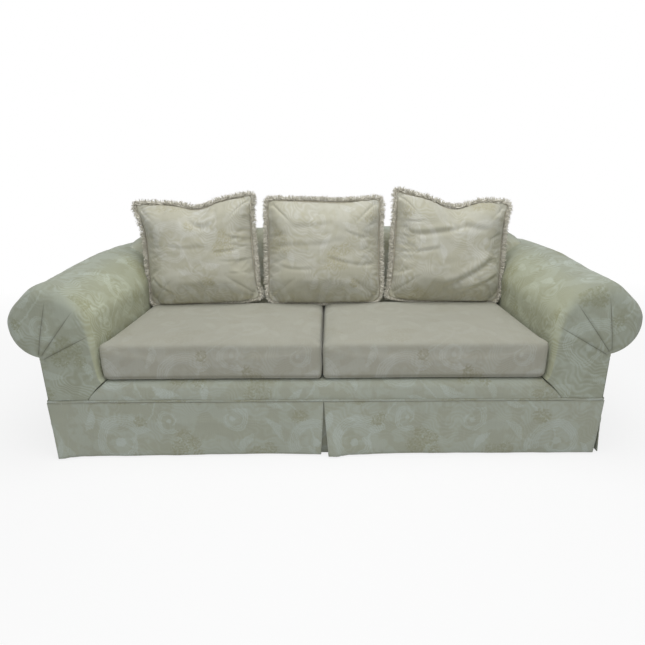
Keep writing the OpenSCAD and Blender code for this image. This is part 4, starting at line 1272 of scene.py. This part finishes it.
# %% Blow a cover out
def blown_up(piece, held, pressure, growth, cap, frames, bending):
    """Simulates a cover as cloth. held(vertex) says how firmly a point is kept, from 0 to 1, growth is the share by
    which the cloth is too large, and cap is about how far a point may move."""
    start = [v.co.copy() for v in piece.data.vertices]
    group = piece.vertex_groups.new(name="held")
    for v in piece.data.vertices:
        grip = held(v)
        if grip > 0:
            group.add([v.index], grip, "REPLACE")
    cloth = piece.modifiers.new("cloth", "CLOTH")
    rule = cloth.settings
    rule.quality, rule.mass = 4, 0.25
    rule.tension_stiffness = rule.compression_stiffness = 12
    rule.shear_stiffness, rule.bending_stiffness = 4, bending
    rule.vertex_group_mass, rule.pin_stiffness = "held", 1.0
    rule.shrink_min = -growth
    rule.use_pressure, rule.uniform_pressure_force = True, pressure
    rule.effector_weights.gravity = 0
    rule.time_scale = 0.8
    cloth.point_cache.frame_start, cloth.point_cache.frame_end = 1, frames
    for frame_number in range(1, frames + 1):
        bpy.context.scene.frame_set(frame_number)
    shaped = piece.evaluated_get(bpy.context.evaluated_depsgraph_get())
    found = [v.co.copy() for v in shaped.data.vertices]
    piece.modifiers.remove(cloth)
    piece.vertex_groups.remove(group)
    for v, old, new in zip(piece.data.vertices, start, found):
        moved = new - old
        far = moved.length
        v.co = old + moved * (cap * math.tanh(far / cap) / far if far > 1e-9 else 0.0)
    piece.data.update()
    bpy.context.scene.frame_set(1)
    print(f"{piece.name} moved up to {1000 * max((n - o).length for o, n in zip(start, found)):.0f} mm")


def curve_through(rows, x):
    """A smooth curve through rows of (x, y)."""
    k = max(i for i in range(len(rows) - 1) if rows[i][0] <= x or i == 0)
    (x0, y0), (x1, y1) = rows[k], rows[k + 1]

    def slope(n):
        a, b = rows[max(0, n - 1)], rows[min(len(rows) - 1, n + 1)]
        return (b[1] - a[1]) / (b[0] - a[0])

    t, run = (x - x0) / (x1 - x0), x1 - x0
    return ((1 + 2 * t) * (1 - t) ** 2 * y0 + t * (1 - t) ** 2 * run * slope(k)
            + t * t * (3 - 2 * t) * y1 + t * t * (t - 1) * run * slope(k + 1))


def rounded(q, half, radius):
    """Rounds a point on a box's surface, with that radius at each edge."""
    core = Vector([max(-h + radius, min(h - radius, c)) for c, h in zip(q, half)])
    return core + (Vector(q) - core).normalized() * radius


# %% [markdown]
# ## The seat cushions
#
# A boxed cushion has a top, a bottom and a strip between them. Foam fills it, so it keeps its box shape with a
# crowned top, soft edges and sides that pull in a little between the corners. Six grids, one for each panel, are
# placed on a rounded box and sewn together, and then the cover is blown out over its foam.

# %% Cut and sew a cushion's cover
CUSHION_EDGE = 0.018
CUSHION_CROWN = 0.009
CUSHION_DRAW = 0.004
TOUCH_GAP = 0.0015  # how far two covers that press on each other stay apart


def cushion_form(low, high, inset, pitch, squeezed=0.0):
    """A boxed cushion. squeezed is how much of the hollow pressed into the arm it fills."""
    low, high = Vector(low) + Vector([inset] * 3), Vector(high) - Vector([inset] * 3)
    half = (high - low) / 2
    half.z -= CUSHION_CROWN / 2
    middle = Vector(((low.x + high.x) / 2, (low.y + high.y) / 2, low.z + half.z))
    counts = [max(6, round(2 * h / pitch)) for h in half]
    outer = 1 if middle.x > 0 else -1

    def surface(q):
        point = rounded(q, half, CUSHION_EDGE)
        s, t = point.x / half.x, point.y / half.y
        up = smooth((point.z / half.z + 1) / 2)
        level = 1 - (point.z / half.z) ** 2
        draw = CUSHION_DRAW if s * outer > 0 else 0.0
        point.x -= math.copysign(draw * (1 - t * t) * abs(s) ** 6, s) * (1 - 0.5 * level)
        point.y -= math.copysign(CUSHION_DRAW * (1 - s * s) * abs(t) ** 6, t) * (1 - 0.5 * level)
        point.z += CUSHION_CROWN * (1 - s * s) * (1 - t * t) * up
        point.z += ripple(point, 5.0, middle.x) * 0.0014 * up
        front = smooth((-t - 0.86) / 0.12) * min(1.0, point.z / half.z + 1.2)
        point.y += ripple((point.x, point.z * 0.25, middle.x), 26.0, 3.0) * 0.0016 * front
        point.y += ripple((point.x, point.z * 0.2, 0), 62.0, 9.0) * 0.0008 * front
        point.x += outer * max(0.0, s * outer) ** 2 * pressed_by_seat(middle.z + point.z) * squeezed
        return middle + point

    def panel(a, b, face, outward):
        """One panel of the cover. Axes a and b run along it, and it looks along face."""
        def place(i, j):
            q = [0.0, 0.0, 0.0]
            q[a] = half[a] * (2 * i / counts[a] - 1)
            q[b] = half[b] * (2 * j / counts[b] - 1)
            q[face] = half[face] * outward
            return surface(q)

        def flat(i, j, _):
            # The map runs on over the front edge, as the cloth does
            point = place(i, j) - middle
            drop = half.z - point.z
            if face == 0:
                return point.x + outward * drop, point.y + half.y
            if face == 1 and outward > 0:
                return point.x, point.y + half.y + drop
            return point.x, point.y + half.y - drop * (outward < 0 or face == 2)

        return wrapped(counts[a], counts[b], place, flat)

    # The top and bottom, the front and rear, and the two ends
    whole = joined([panel(0, 1, 2, 1), panel(0, 1, 2, -1), panel(0, 2, 1, -1), panel(0, 2, 1, 1),
                    panel(1, 2, 0, -1), panel(1, 2, 0, 1)])
    shade = whole.verts.layers.float["fold"]
    for v in whole.verts:
        # Painted shade marks a thin seam round the lower edge
        from_bottom = abs(v.co.z - low.z - 0.012)
        sides = min(high.x - v.co.x, v.co.x - low.x, high.y - v.co.y, v.co.y - low.y)
        v[shade] = 0.5 * bell(from_bottom, 0.004) * smooth(1 - sides / 0.03)
    return whole


# %% [markdown]
# ## Where soft pieces meet
#
# Cushions, pillows and fringes lie against the covers beside them and never sink in. A simulation could find where
# they touch, but it is slow and differs with each small change. Here a point that lies behind the nearest spot of
# a cover is moved out to it, and a ray finds the wall beside a cushion or the seat under a pillow.

# %% Pieces that press on each other
def surface_of(name):
    """A piece's faces in a form that can be asked for the nearest spot."""
    data = bpy.data.objects[name].data
    return BVHTree.FromPolygons([v.co for v in data.vertices], [p.vertices for p in data.polygons])


def kept_off(verts, surface, apart):
    """Flattens what would sink into a surface, so that it lies against it."""
    for v in verts:
        spot, normal, _, _ = surface.find_nearest(v.co, 0.06)
        if spot and (v.co - spot).dot(normal) < apart:
            v.co = spot + normal * apart


ARM_SURFACES = {word: surface_of(f"arm_damask_{word}") for word in ("left", "right")}
BACK_SURFACE = surface_of("back_damask")
print("The arms and the back can be pressed on")

# %% Dress both cushions
def kept_in(piece, low, high, outer):
    """Keeps a cushion in its box, of which the outer side may reach the hollow in the arm."""
    for v in piece.data.vertices:
        room = outer * min(1.0, pressed_by_seat(v.co.z) / SEAT_PRESS)
        near, far = low[0] + min(0.0, room), high[0] + max(0.0, room)
        v.co = [max(a, min(b, c)) for c, a, b in zip(v.co, (near, *low[1:]), (far, *high[1:]))]


def kept_off_arm(piece, word, side):
    """Flattens a cushion's end against the arm beside it. A ray finds the arm from the cushion's middle."""
    for v in piece.data.vertices:
        wall = ARM_SURFACES[word].ray_cast(Vector((side * 0.5, v.co.y, v.co.z)), Vector((side, 0, 0)))[0]
        if wall and (v.co.x - wall.x) * side > -TOUCH_GAP:
            v.co.x = wall.x - side * TOUCH_GAP


for side, word in ((-1, "left"), (1, "right")):
    low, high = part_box(f"seat_cover_{word}")
    cover = settled(f"seat_damask_{word}", cushion_form(low, high, 0.001, 0.0125, 0.93))
    blown_up(cover, lambda v: smooth((low[2] + 0.030 - v.co.z) / 0.02), 3.0, 0.012, 0.005, 12, 0.4)
    kept_in(cover, low, high, side * 0.013)
    kept_off_arm(cover, word, side)
    dressed(cover, f"seat_cushion_{word}", CUSHION_DAMASK, [f"seat_cover_{word}"],
            smoother=1)
    low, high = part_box(f"seat_foam_{word}")
    foam = settled(f"seat_foam_block_{word}", cushion_form(low, high, 0.008, 0.040))
    dressed(foam, f"seat_cushion_{word}", FOAM, [f"seat_foam_{word}"])
    print(cover.name, "has", len(cover.data.polygons), "faces")

# %% [markdown]
# ## The cushions' zips
#
# Each cushion closes with a brass zip on its rear boxing. Two narrow tapes carry the teeth, which mesh in a single
# row, and a slider with a pull tab runs along them. A tooth is a plain block, because it is made hundreds of times
# and so has few faces.

# %% Make the zips and their sliders
TOOTH_PITCH = 0.0025


def block(bm, low, high, bevel=0.0):
    """Adds a block between two corners, with rounded edges where bevel is given."""
    low, high = Vector(low), Vector(high)
    made = bmesh.ops.create_cube(bm, size=1.0, matrix=Matrix.Translation((low + high) / 2)
                                 @ Matrix.Diagonal(list(high - low) + [1.0]))["verts"]
    if bevel:
        edges = list({edge for v in made for edge in v.link_edges})
        bmesh.ops.bevel(bm, geom=edges, offset=bevel, segments=2, profile=0.6, affect="EDGES", material=-1)


def zip_tapes(low, high):
    """Two tapes, one above and one below the teeth."""
    middle = (low[2] + high[2]) / 2
    across, along = 120, 4
    tapes = []
    for z0, z1 in ((low[2], middle - 0.0006), (middle + 0.0006, high[2])):
        def place(i, j):
            return Vector((lerp(low[0], high[0], i / across), high[1] - 0.0006, lerp(z0, z1, j / along)))

        tapes.append(wrapped(across, along, place, lambda i, j, _: (0.6 * i / across, 0.013 * j / along + z0)))
    whole = joined(tapes, 0)
    bmesh.ops.recalc_face_normals(whole, faces=whole.faces)
    return whole


for word in ("left", "right"):
    low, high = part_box(f"zip_{word}")
    tape = settled(f"zip_tapes_{word}", zip_tapes(low, high))
    dressed(tape, f"seat_cushion_{word}", ZIP_TAPE, [f"zip_{word}"], thick=0.0008)
    row = bmesh.new()
    middle = (low[2] + high[2]) / 2
    for k in range(int((high[0] - low[0] - 0.008) / TOOTH_PITCH)):
        x = low[0] + 0.004 + k * TOOTH_PITCH
        shift = 0.0009 if k % 2 else -0.0009
        block(row, (x, low[1], middle + shift - 0.0022), (x + 0.0015, high[1] - 0.0001, middle + shift + 0.0022))
    teeth = settled(f"zip_teeth_{word}", row)
    teeth.data.shade_flat()
    dressed(teeth, f"seat_cushion_{word}", BRASS)
    low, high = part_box(f"zip_slider_{word}")
    metal = bmesh.new()
    middle = (low[2] + high[2]) / 2
    # The slider's body, the bridge on it and the pull tab
    block(metal, low, (high[0], low[1] + 0.0016, high[2]), 0.0005)
    block(metal, (low[0] + 0.004, low[1] + 0.0012, middle - 0.0018),
          (high[0] - 0.004, low[1] + 0.0028, middle + 0.0018), 0.0004)
    block(metal, (low[0] + 0.0005, low[1] + 0.0026, middle - 0.0028),
          (high[0] - 0.0005, high[1], middle + 0.0028), 0.0006)
    slider = settled(f"zip_pull_{word}", metal)
    dressed(slider, f"zip_slider_{word}", BRASS, [f"zip_slider_{word}"])
print("Zips made")

# %% [markdown]
# ## The back pillows
#
# A back pillow is two squares of cloth sewn together and stuffed. It is thin at the seam and fullest below its
# middle, where the fibre has settled, and its corners stand out because the sides pull in. Two grids share one
# seam line. The seam is held while the cover is blown out, and the slack in the cloth then puckers along it, as it
# does on the real one. Broad creases are pressed in afterwards, where someone's back and hands have left them.

# %% A pillow's seam and its fullness
PILLOW_HALF = Vector((0.272, 0.247))
PILLOW_DRAW = 0.006
PILLOW_SETTLE = 0.050
PILLOW_FULL = 0.100
PILLOW_CORNER = 0.026
FRINGE_W = 0.024
PILLOW_LIFT = 0.003  # the fringe holds the cover this far off the seat
FULLNESS = [(0.0, 1.0), (0.40, 0.97), (0.68, 0.87), (0.85, 0.66), (0.94, 0.40), (1.0, 0.050)]
BRUSH_REACH = 0.027
# Each pillow's place across, its turn in degrees, the middle, depth and width of the dip in its top edge, how far its
# left and right seams are set in, and how its corners are pulled: the two lower ones, and then the two upper ones
PILLOWS = {"left": {"across": -0.600, "turn": 4, "dip": (-0.02, 0.033, 0.32), "insets": (0.0, 0.018),
                    "pulls": ((0.004, 0.012), (0.004, 0), (-0.051, 0.015), (0.004, 0.013))},
           "middle": {"across": 0.0, "turn": 0, "dip": (0.35, 0.008, 0.40), "insets": (0.000, -0.004),
                      "pulls": ((0, 0.002), (0.004, 0), (-0.002, 0.004), (0.012, 0.002))},
           "right": {"across": 0.600, "turn": -4, "dip": (0.09, 0.044, 0.35), "insets": (0.018, 0.0),
                     "pulls": ((-0.004, 0), (-0.006, 0.012), (0.008, 0.027), (0.022, -0.009))}}


def seam_point(word, u, v, out=0.0):
    """A point of the seam in the pillow's own plane. One of u and v is 1 or -1. out moves it outwards."""
    pillow = PILLOWS[word]
    half = PILLOW_HALF + Vector((out, out))
    x, y, _ = rounded((u * half.x, v * half.y, 0), (half.x, half.y, 10), PILLOW_CORNER + out)
    across, up = x / PILLOW_HALF.x, y / PILLOW_HALF.y
    y -= up ** 5 * PILLOW_DRAW * (1 - min(1.0, abs(across)) ** 2) * (up > 0)
    x -= across ** 5 * 0.4 * PILLOW_DRAW * (1 - min(1.0, abs(up)) ** 2)
    inset = pillow["insets"][0] if x < 0 else -pillow["insets"][1]
    x += inset * abs(across) ** 3 * (1 - min(1, abs(up)) ** 6)
    pull = pillow["pulls"][2 * (y > 0) + (x > 0)]
    share = abs(across * up) ** 3
    centre, depth, width = pillow["dip"]
    if v > 0:
        y -= depth * bell(u - centre, width) * (1 - u ** 6) * max(0.0, up) ** 4
    else:
        # The lower seam sags onto the seat
        y -= 0.017 * (1 - u ** 6) * max(0.0, -up) ** 4
    return Vector((x + share * pull[0], y + share * pull[1]))


def pillow_point(word, u, v, side, thin=0.0):
    """A point of the pillow's face in front (side 1) or behind (-1). u and v run from -1 to 1 across and up it."""
    reach = max(abs(u), abs(v))
    if reach < 1e-9:
        return Vector((0, -PILLOW_SETTLE, side * (PILLOW_FULL - thin)))
    seam = seam_point(word, u / reach, v / reach, -thin)
    around = min(1.0, (abs(u) ** 7 + abs(v) ** 7) ** (1 / 7))
    full = curve_through(FULLNESS, around)
    if side > 0 and v < 0:
        # It sits on its rear edge, so its foot is thin
        full *= 1 - 0.28 * smooth((-v - 0.45) / 0.5)
    return Vector((seam.x * reach, (seam.y + PILLOW_SETTLE) * reach - PILLOW_SETTLE,
                   side * (PILLOW_FULL - thin) * full))


# How far the pillows' middles are up the slope of the back, so that they stand on the seat
SEAT_TOP_Z = 0.3203 + 0.141  # a cushion's foot and its height, without the crown
PILLOW_OFF = PILLOW_FULL + 0.0006
PILLOW_UP = ((SEAT_TOP_Z + PILLOW_LIFT - LIP_Z - PILLOW_OFF * math.sin(LEAN)) / math.cos(LEAN)
             + PILLOW_HALF.y + FRINGE_W)


def pillow_place(word):
    """Where a pillow leans on the back: a matrix from its own plane to the sofa."""
    pillow = PILLOWS[word]
    return (Matrix.Translation((pillow["across"], BACK_FOOT_Y, LIP_Z)) @ Matrix.Rotation(-LEAN, 4, "X")
            @ Matrix.Translation((0, -PILLOW_OFF, PILLOW_UP)) @ Matrix.Rotation(math.pi / 2, 4, "X")
            @ Matrix.Rotation(math.radians(pillow["turn"]), 4, "Z"))


SEAT_SURFACES = [BVHTree.FromObject(bpy.data.objects[f"seat_damask_{word}"],
                                    bpy.context.evaluated_depsgraph_get()) for word in ("left", "right")]
ABOVE_SEAT_Z = 0.6  # rays are cast down from here
NEAR_SEAT_Z = 0.52  # what is higher can't touch a cushion


def kept_off_seat(verts, apart):
    """Lifts what would sink into the seat cushions, as they carry it."""
    for v in verts:
        if v.co.z < NEAR_SEAT_Z:
            hits = [seat.ray_cast(Vector((v.co.x, v.co.y, ABOVE_SEAT_Z)), Vector((0, 0, -1)))[0]
                    for seat in SEAT_SURFACES]
            v.co.z = max([v.co.z] + [hit.z + apart for hit in hits if hit])


# %% Creases left by use
# Each crease runs from one point of the pillow's front to another, with a width and a depth in metres
CREASES = {"left": [((-0.15, 0.60), (0.10, 0.42), 0.024, 0.010), ((0.02, 0.36), (0.45, 0.58), 0.030, 0.008),
                    ((0.30, -0.10), (0.90, 0.04), 0.014, 0.005), ((0.40, -0.28), (0.95, -0.20), 0.012, 0.004),
                    ((-0.92, -0.40), (-0.45, -0.88), 0.014, 0.008), ((0.55, -0.52), (0.95, -0.40), 0.012, 0.004),
                    ((-0.55, 0.10), (0.10, 0.02), 0.022, 0.004), ((0.50, 0.22), (0.95, 0.18), 0.012, 0.004)],
           "middle": [((-0.60, 0.40), (0.20, 0.48), 0.030, 0.005), ((0.10, -0.20), (0.85, -0.34), 0.018, 0.005),
                      ((-0.85, -0.30), (-0.20, -0.42), 0.016, 0.004), ((-0.70, 0.05), (0.30, 0.12), 0.026, 0.004),
                      ((0.40, 0.30), (0.92, 0.20), 0.014, 0.005)],
           "right": [((-0.70, 0.18), (0.30, 0.40), 0.026, 0.011), ((-0.85, 0.50), (-0.45, 0.46), 0.012, 0.006),
                     ((-0.90, -0.12), (-0.20, -0.06), 0.018, 0.006), ((-0.05, -0.80), (0.80, -0.18), 0.030, 0.012),
                     ((0.25, -0.85), (0.92, -0.46), 0.018, 0.009), ((-0.10, 0.60), (0.06, 0.38), 0.020, 0.009),
                     ((0.10, 0.50), (0.62, 0.34), 0.030, 0.007), ((0.70, -0.02), (0.95, -0.30), 0.012, 0.006)]}


def creased(piece, word):
    """Presses each crease in as a valley with a soft ridge above it."""
    piece.data.update()
    normals = [v.normal.copy() for v in piece.data.vertices]
    back_to_pillow = pillow_place(word).inverted()
    forwards = (pillow_place(word).to_3x3() @ Vector((0, 0, 1))).normalized()
    for v, normal in zip(piece.data.vertices, normals):
        own = back_to_pillow @ v.co
        if own.z < 0:
            continue
        push = 0.0
        for a, b, width, depth in CREASES[word]:
            start = Vector(a) * PILLOW_HALF
            run = Vector(b) * PILLOW_HALF - start
            rel = own.xy - start
            along = rel.dot(run) / run.length_squared
            bend = 0.012 * math.sin(math.pi * max(0.0, min(1.0, along)))
            away = (run.x * rel.y - run.y * rel.x) / run.length + bend
            window = smooth((along + 0.15) / 0.35) * smooth((1.15 - along) / 0.35)
            fold = 0.42 * bell(away - width * 0.9, width * 0.6) - 0.63 * bell(away, width * 0.45)
            push += window * depth * fold
        # Puckers along the seam
        share = max(abs(own.x) / PILLOW_HALF.x, abs(own.y) / PILLOW_HALF.y)
        along = own.x if abs(own.y) / PILLOW_HALF.y > abs(own.x) / PILLOW_HALF.x else own.y
        push += ripple((along, 0.0, 0.2 * own.x), 48.0, 6.0) * 0.0030 * smooth((share - 0.70) / 0.2)
        calm = smooth(own.z / 0.03)
        push += (ripple(own, 14.0, 4.0) * 0.0022 + ripple((own.x * 0.5, own.y, 0), 34.0, 9.0) * 0.0016) * calm
        v.co = v.co + normal * push * calm * max(0.0, normal.dot(forwards))


# %% Cut, stuff and crease the pillows
def pillow_form(word, cells, thin=0.0):
    """A pillow's cover of cells by cells squares a side, or its filling, which is smaller by thin."""
    offset = {"left": 0.0, "middle": 0.37, "right": 0.83}[word]
    parts = []
    for side in (1, -1):
        def spot(i, j):
            return 2 * i / cells - 1, 2 * j / cells - 1

        # The fold attribute paints shade along the seam
        parts.append(wrapped(cells, cells,
                             lambda i, j: pillow_point(word, *spot(i, j), side, thin),
                             lambda i, j, _: (spot(i, j)[0] * 0.285 + offset, spot(i, j)[1] * 0.262 + side * 0.4),
                             lambda i, j: 0.5 * bell((1 - max(map(abs, spot(i, j)))) * 0.25, 0.0035)))
        if side < 0:
            bmesh.ops.reverse_faces(parts[-1], faces=parts[-1].faces)
    # The two faces meet along the seam's middle
    for bm in parts:
        for v in bm.verts:
            if v.is_boundary:
                v.co.z = 0
    whole = joined(parts, 2e-5)
    if whole.calc_volume(signed=True) < 0:
        bmesh.ops.reverse_faces(whole, faces=whole.faces)
    whole.transform(pillow_place(word))
    return whole


for word in PILLOWS:
    cover = settled(f"pillow_damask_{word}", pillow_form(word, 76))
    back_to_pillow = pillow_place(word).inverted()
    blown_up(cover, lambda v: float(abs((back_to_pillow @ v.co).z) < 0.002), 3.2, 0.035, 0.011, 18, 0.15)
    creased(cover, word)
    kept_off(cover.data.vertices, BACK_SURFACE, TOUCH_GAP)
    kept_off_seat(cover.data.vertices, PILLOW_LIFT)
    dressed(cover, f"pillow_{word}", PILLOW_DAMASK, [f"pillow_cover_{word}"],
            smoother=1)
    filling = settled(f"pillow_filling_{word}", pillow_form(word, 22, 0.022))
    dressed(filling, f"pillow_{word}", FIBRE, [f"pillow_fill_{word}"])
    print(cover.name, "has", len(cover.data.polygons), "faces")

# %% [markdown]
# ## The brush fringe
#
# A brush fringe is a narrow tape sewn into the seam, from which short curled yarns stand out all round. One
# curl is a grid rolled into a thin tube and bent, and each is given its own length, lean and curl by a seeded
# random number, so that the fringe looks hand-made but comes out the same on each run.

# %% Curl the yarn
def fringe_finish():
    """Each curl has its own tone, and painted shade darkens it where it leaves the tape, and darkens the tape."""
    yarn = Finish("fringe_yarn")
    where = yarn.place()
    grain = yarn.noise(where, 520.0, 2.0)
    colour = yarn.mix(yarn.attribute("tone") * 0.8 + grain * 0.3, rgb(188, 183, 165), rgb(246, 243, 232))
    # Painted shade from the fold attribute
    colour = yarn.mix(yarn.attribute("fold"), colour, rgb(120, 113, 94))
    return yarn.finish(colour, 0.9 - grain * 0.1, grain, relief=0.0008, strength=0.6, Sheen_Weight=0.2)


FRINGE_YARN = fringe_finish()
CURLS = 2600
BRUSH_GAP = 0.0012
TAPE_CUTS = 320
SEAM_CUTS = 40  # along each of the four sides


def copies(count, across, along):
    """count copies of one small grid, all in one mesh, made with an Array modifier."""
    bm = bmesh.new()
    bmesh.ops.create_grid(bm, x_segments=across, y_segments=along, size=0.5)
    piece = settled("one_curl", bm)
    row = piece.modifiers.new("copies", "ARRAY")
    row.count, row.use_relative_offset = count, False
    mesh = bpy.data.meshes.new_from_object(piece.evaluated_get(bpy.context.evaluated_depsgraph_get()))
    whole = bmesh.new()
    whole.from_mesh(mesh)
    bpy.data.objects.remove(piece)
    bpy.data.meshes.remove(mesh)
    return whole


def bend_curl(verts, layers, base, away, aside, reach, hook, thick, tone):
    """Rolls one grid into a tube and bends it over towards aside, as a hook."""
    up = away.cross(aside).normalized()
    for v in verts:
        around, t = (v.co.x + 0.5) * 2 * math.pi, v.co.y + 0.5
        spine = (base + away * reach * math.sin(math.pi * 0.60 * t)
                 + aside * reach * hook * (1 - math.cos(math.pi * 0.9 * t)))
        radius = thick * (0.8 + 0.4 * math.sin(math.pi * t)) if 0.01 < t < 0.99 else 0.0
        v.co = spine + (aside * math.cos(around) + up * math.sin(around)) * radius
        # Painted shade at the root, where the curl leaves the tape
        v[layers[0]] = 0.30 * bell(t, 0.22)
        v[layers[1]] = tone


def fringe_form(word, chance):
    """All curls of one pillow and their tape. chance gives the random numbers."""
    line = []
    for u0, v0, u1, v1 in ((-1, -1, 1, -1), (1, -1, 1, 1), (1, 1, -1, 1), (-1, 1, -1, -1)):
        for k in range(SEAM_CUTS):
            u, v = lerp(u0, u1, k / SEAM_CUTS), lerp(v0, v1, k / SEAM_CUTS)
            line.append([seam_point(word, u, v, out) for out in (0.0, 0.010, -0.012)])
    line.append(line[0])
    inner, outer, within = zip(*line)
    stations, _ = steps(inner, CURLS)
    whole = copies(CURLS, 3, 6)
    layers = [whole.verts.layers.float.new(name) for name in ("fold", "tone")]
    whole.verts.ensure_lookup_table()
    verts = list(whole.verts)
    each = len(verts) // CURLS
    for k in range(CURLS):
        root = on_line(inner, stations[k])
        out = (on_line(outer, stations[k]) - root).normalized()
        below = smooth((-out.y - 0.5) / 0.3)
        out.rotate(Matrix.Rotation(chance.uniform(-0.6, 0.6), 2))
        # Under the pillow the brush is pressed flat and shows to the front
        lift = chance.uniform(-0.45, 0.45) + below * chance.choice((0.5, 1.0))
        away = Vector((out.x, out.y * (1 - 0.55 * below), lift)).normalized()
        aside = away.cross(Vector((0, 0, 1))).normalized() * chance.choice((-1, 1))
        aside = (aside + away.cross(aside) * chance.uniform(-1.2, 1.2)).normalized()
        reach = BRUSH_REACH * chance.uniform(0.76, 1.0) * (1 - 0.50 * below)
        base = Vector((root.x, root.y, chance.uniform(-0.003, 0.003)))
        bend_curl(verts[k * each:(k + 1) * each], layers, base, away, aside, reach, chance.uniform(0.12, 0.42),
                  chance.uniform(0.0013, 0.0020), chance.random())
    # The tape that holds the curls
    tape_steps, _ = steps(inner, TAPE_CUTS)
    for side in (1, -1):
        for v in bmesh.ops.create_grid(whole, x_segments=TAPE_CUTS, y_segments=1, size=0.5)["verts"]:
            step, edge = tape_steps[round((v.co.x + 0.5) * TAPE_CUTS) % TAPE_CUTS], v.co.y > 0
            spot = on_line(outer, step).lerp(on_line(inner, step), 0.25) if edge else on_line(within, step)
            v.co = (spot.x, spot.y, side * (0.0009 if edge else 0.0018))
            # The tape is painted half in shade
            v[layers[0]] = 0.5
    bmesh.ops.remove_doubles(whole, verts=whole.verts, dist=1e-6)
    bmesh.ops.recalc_face_normals(whole, faces=whole.faces)
    whole.transform(pillow_place(word))
    if word in ARM_SURFACES:
        kept_off(whole.verts, ARM_SURFACES[word], BRUSH_GAP)
    kept_off_seat(whole.verts, BRUSH_GAP)
    return whole


for number, word in enumerate(PILLOWS):
    fringe = settled(f"pillow_brush_{word}", fringe_form(word, random.Random(11 + number)))
    dressed(fringe, f"pillow_{word}", FRINGE_YARN, [f"pillow_fringe_{word}"])
    print(fringe.name, "has", len(fringe.data.polygons), "faces")
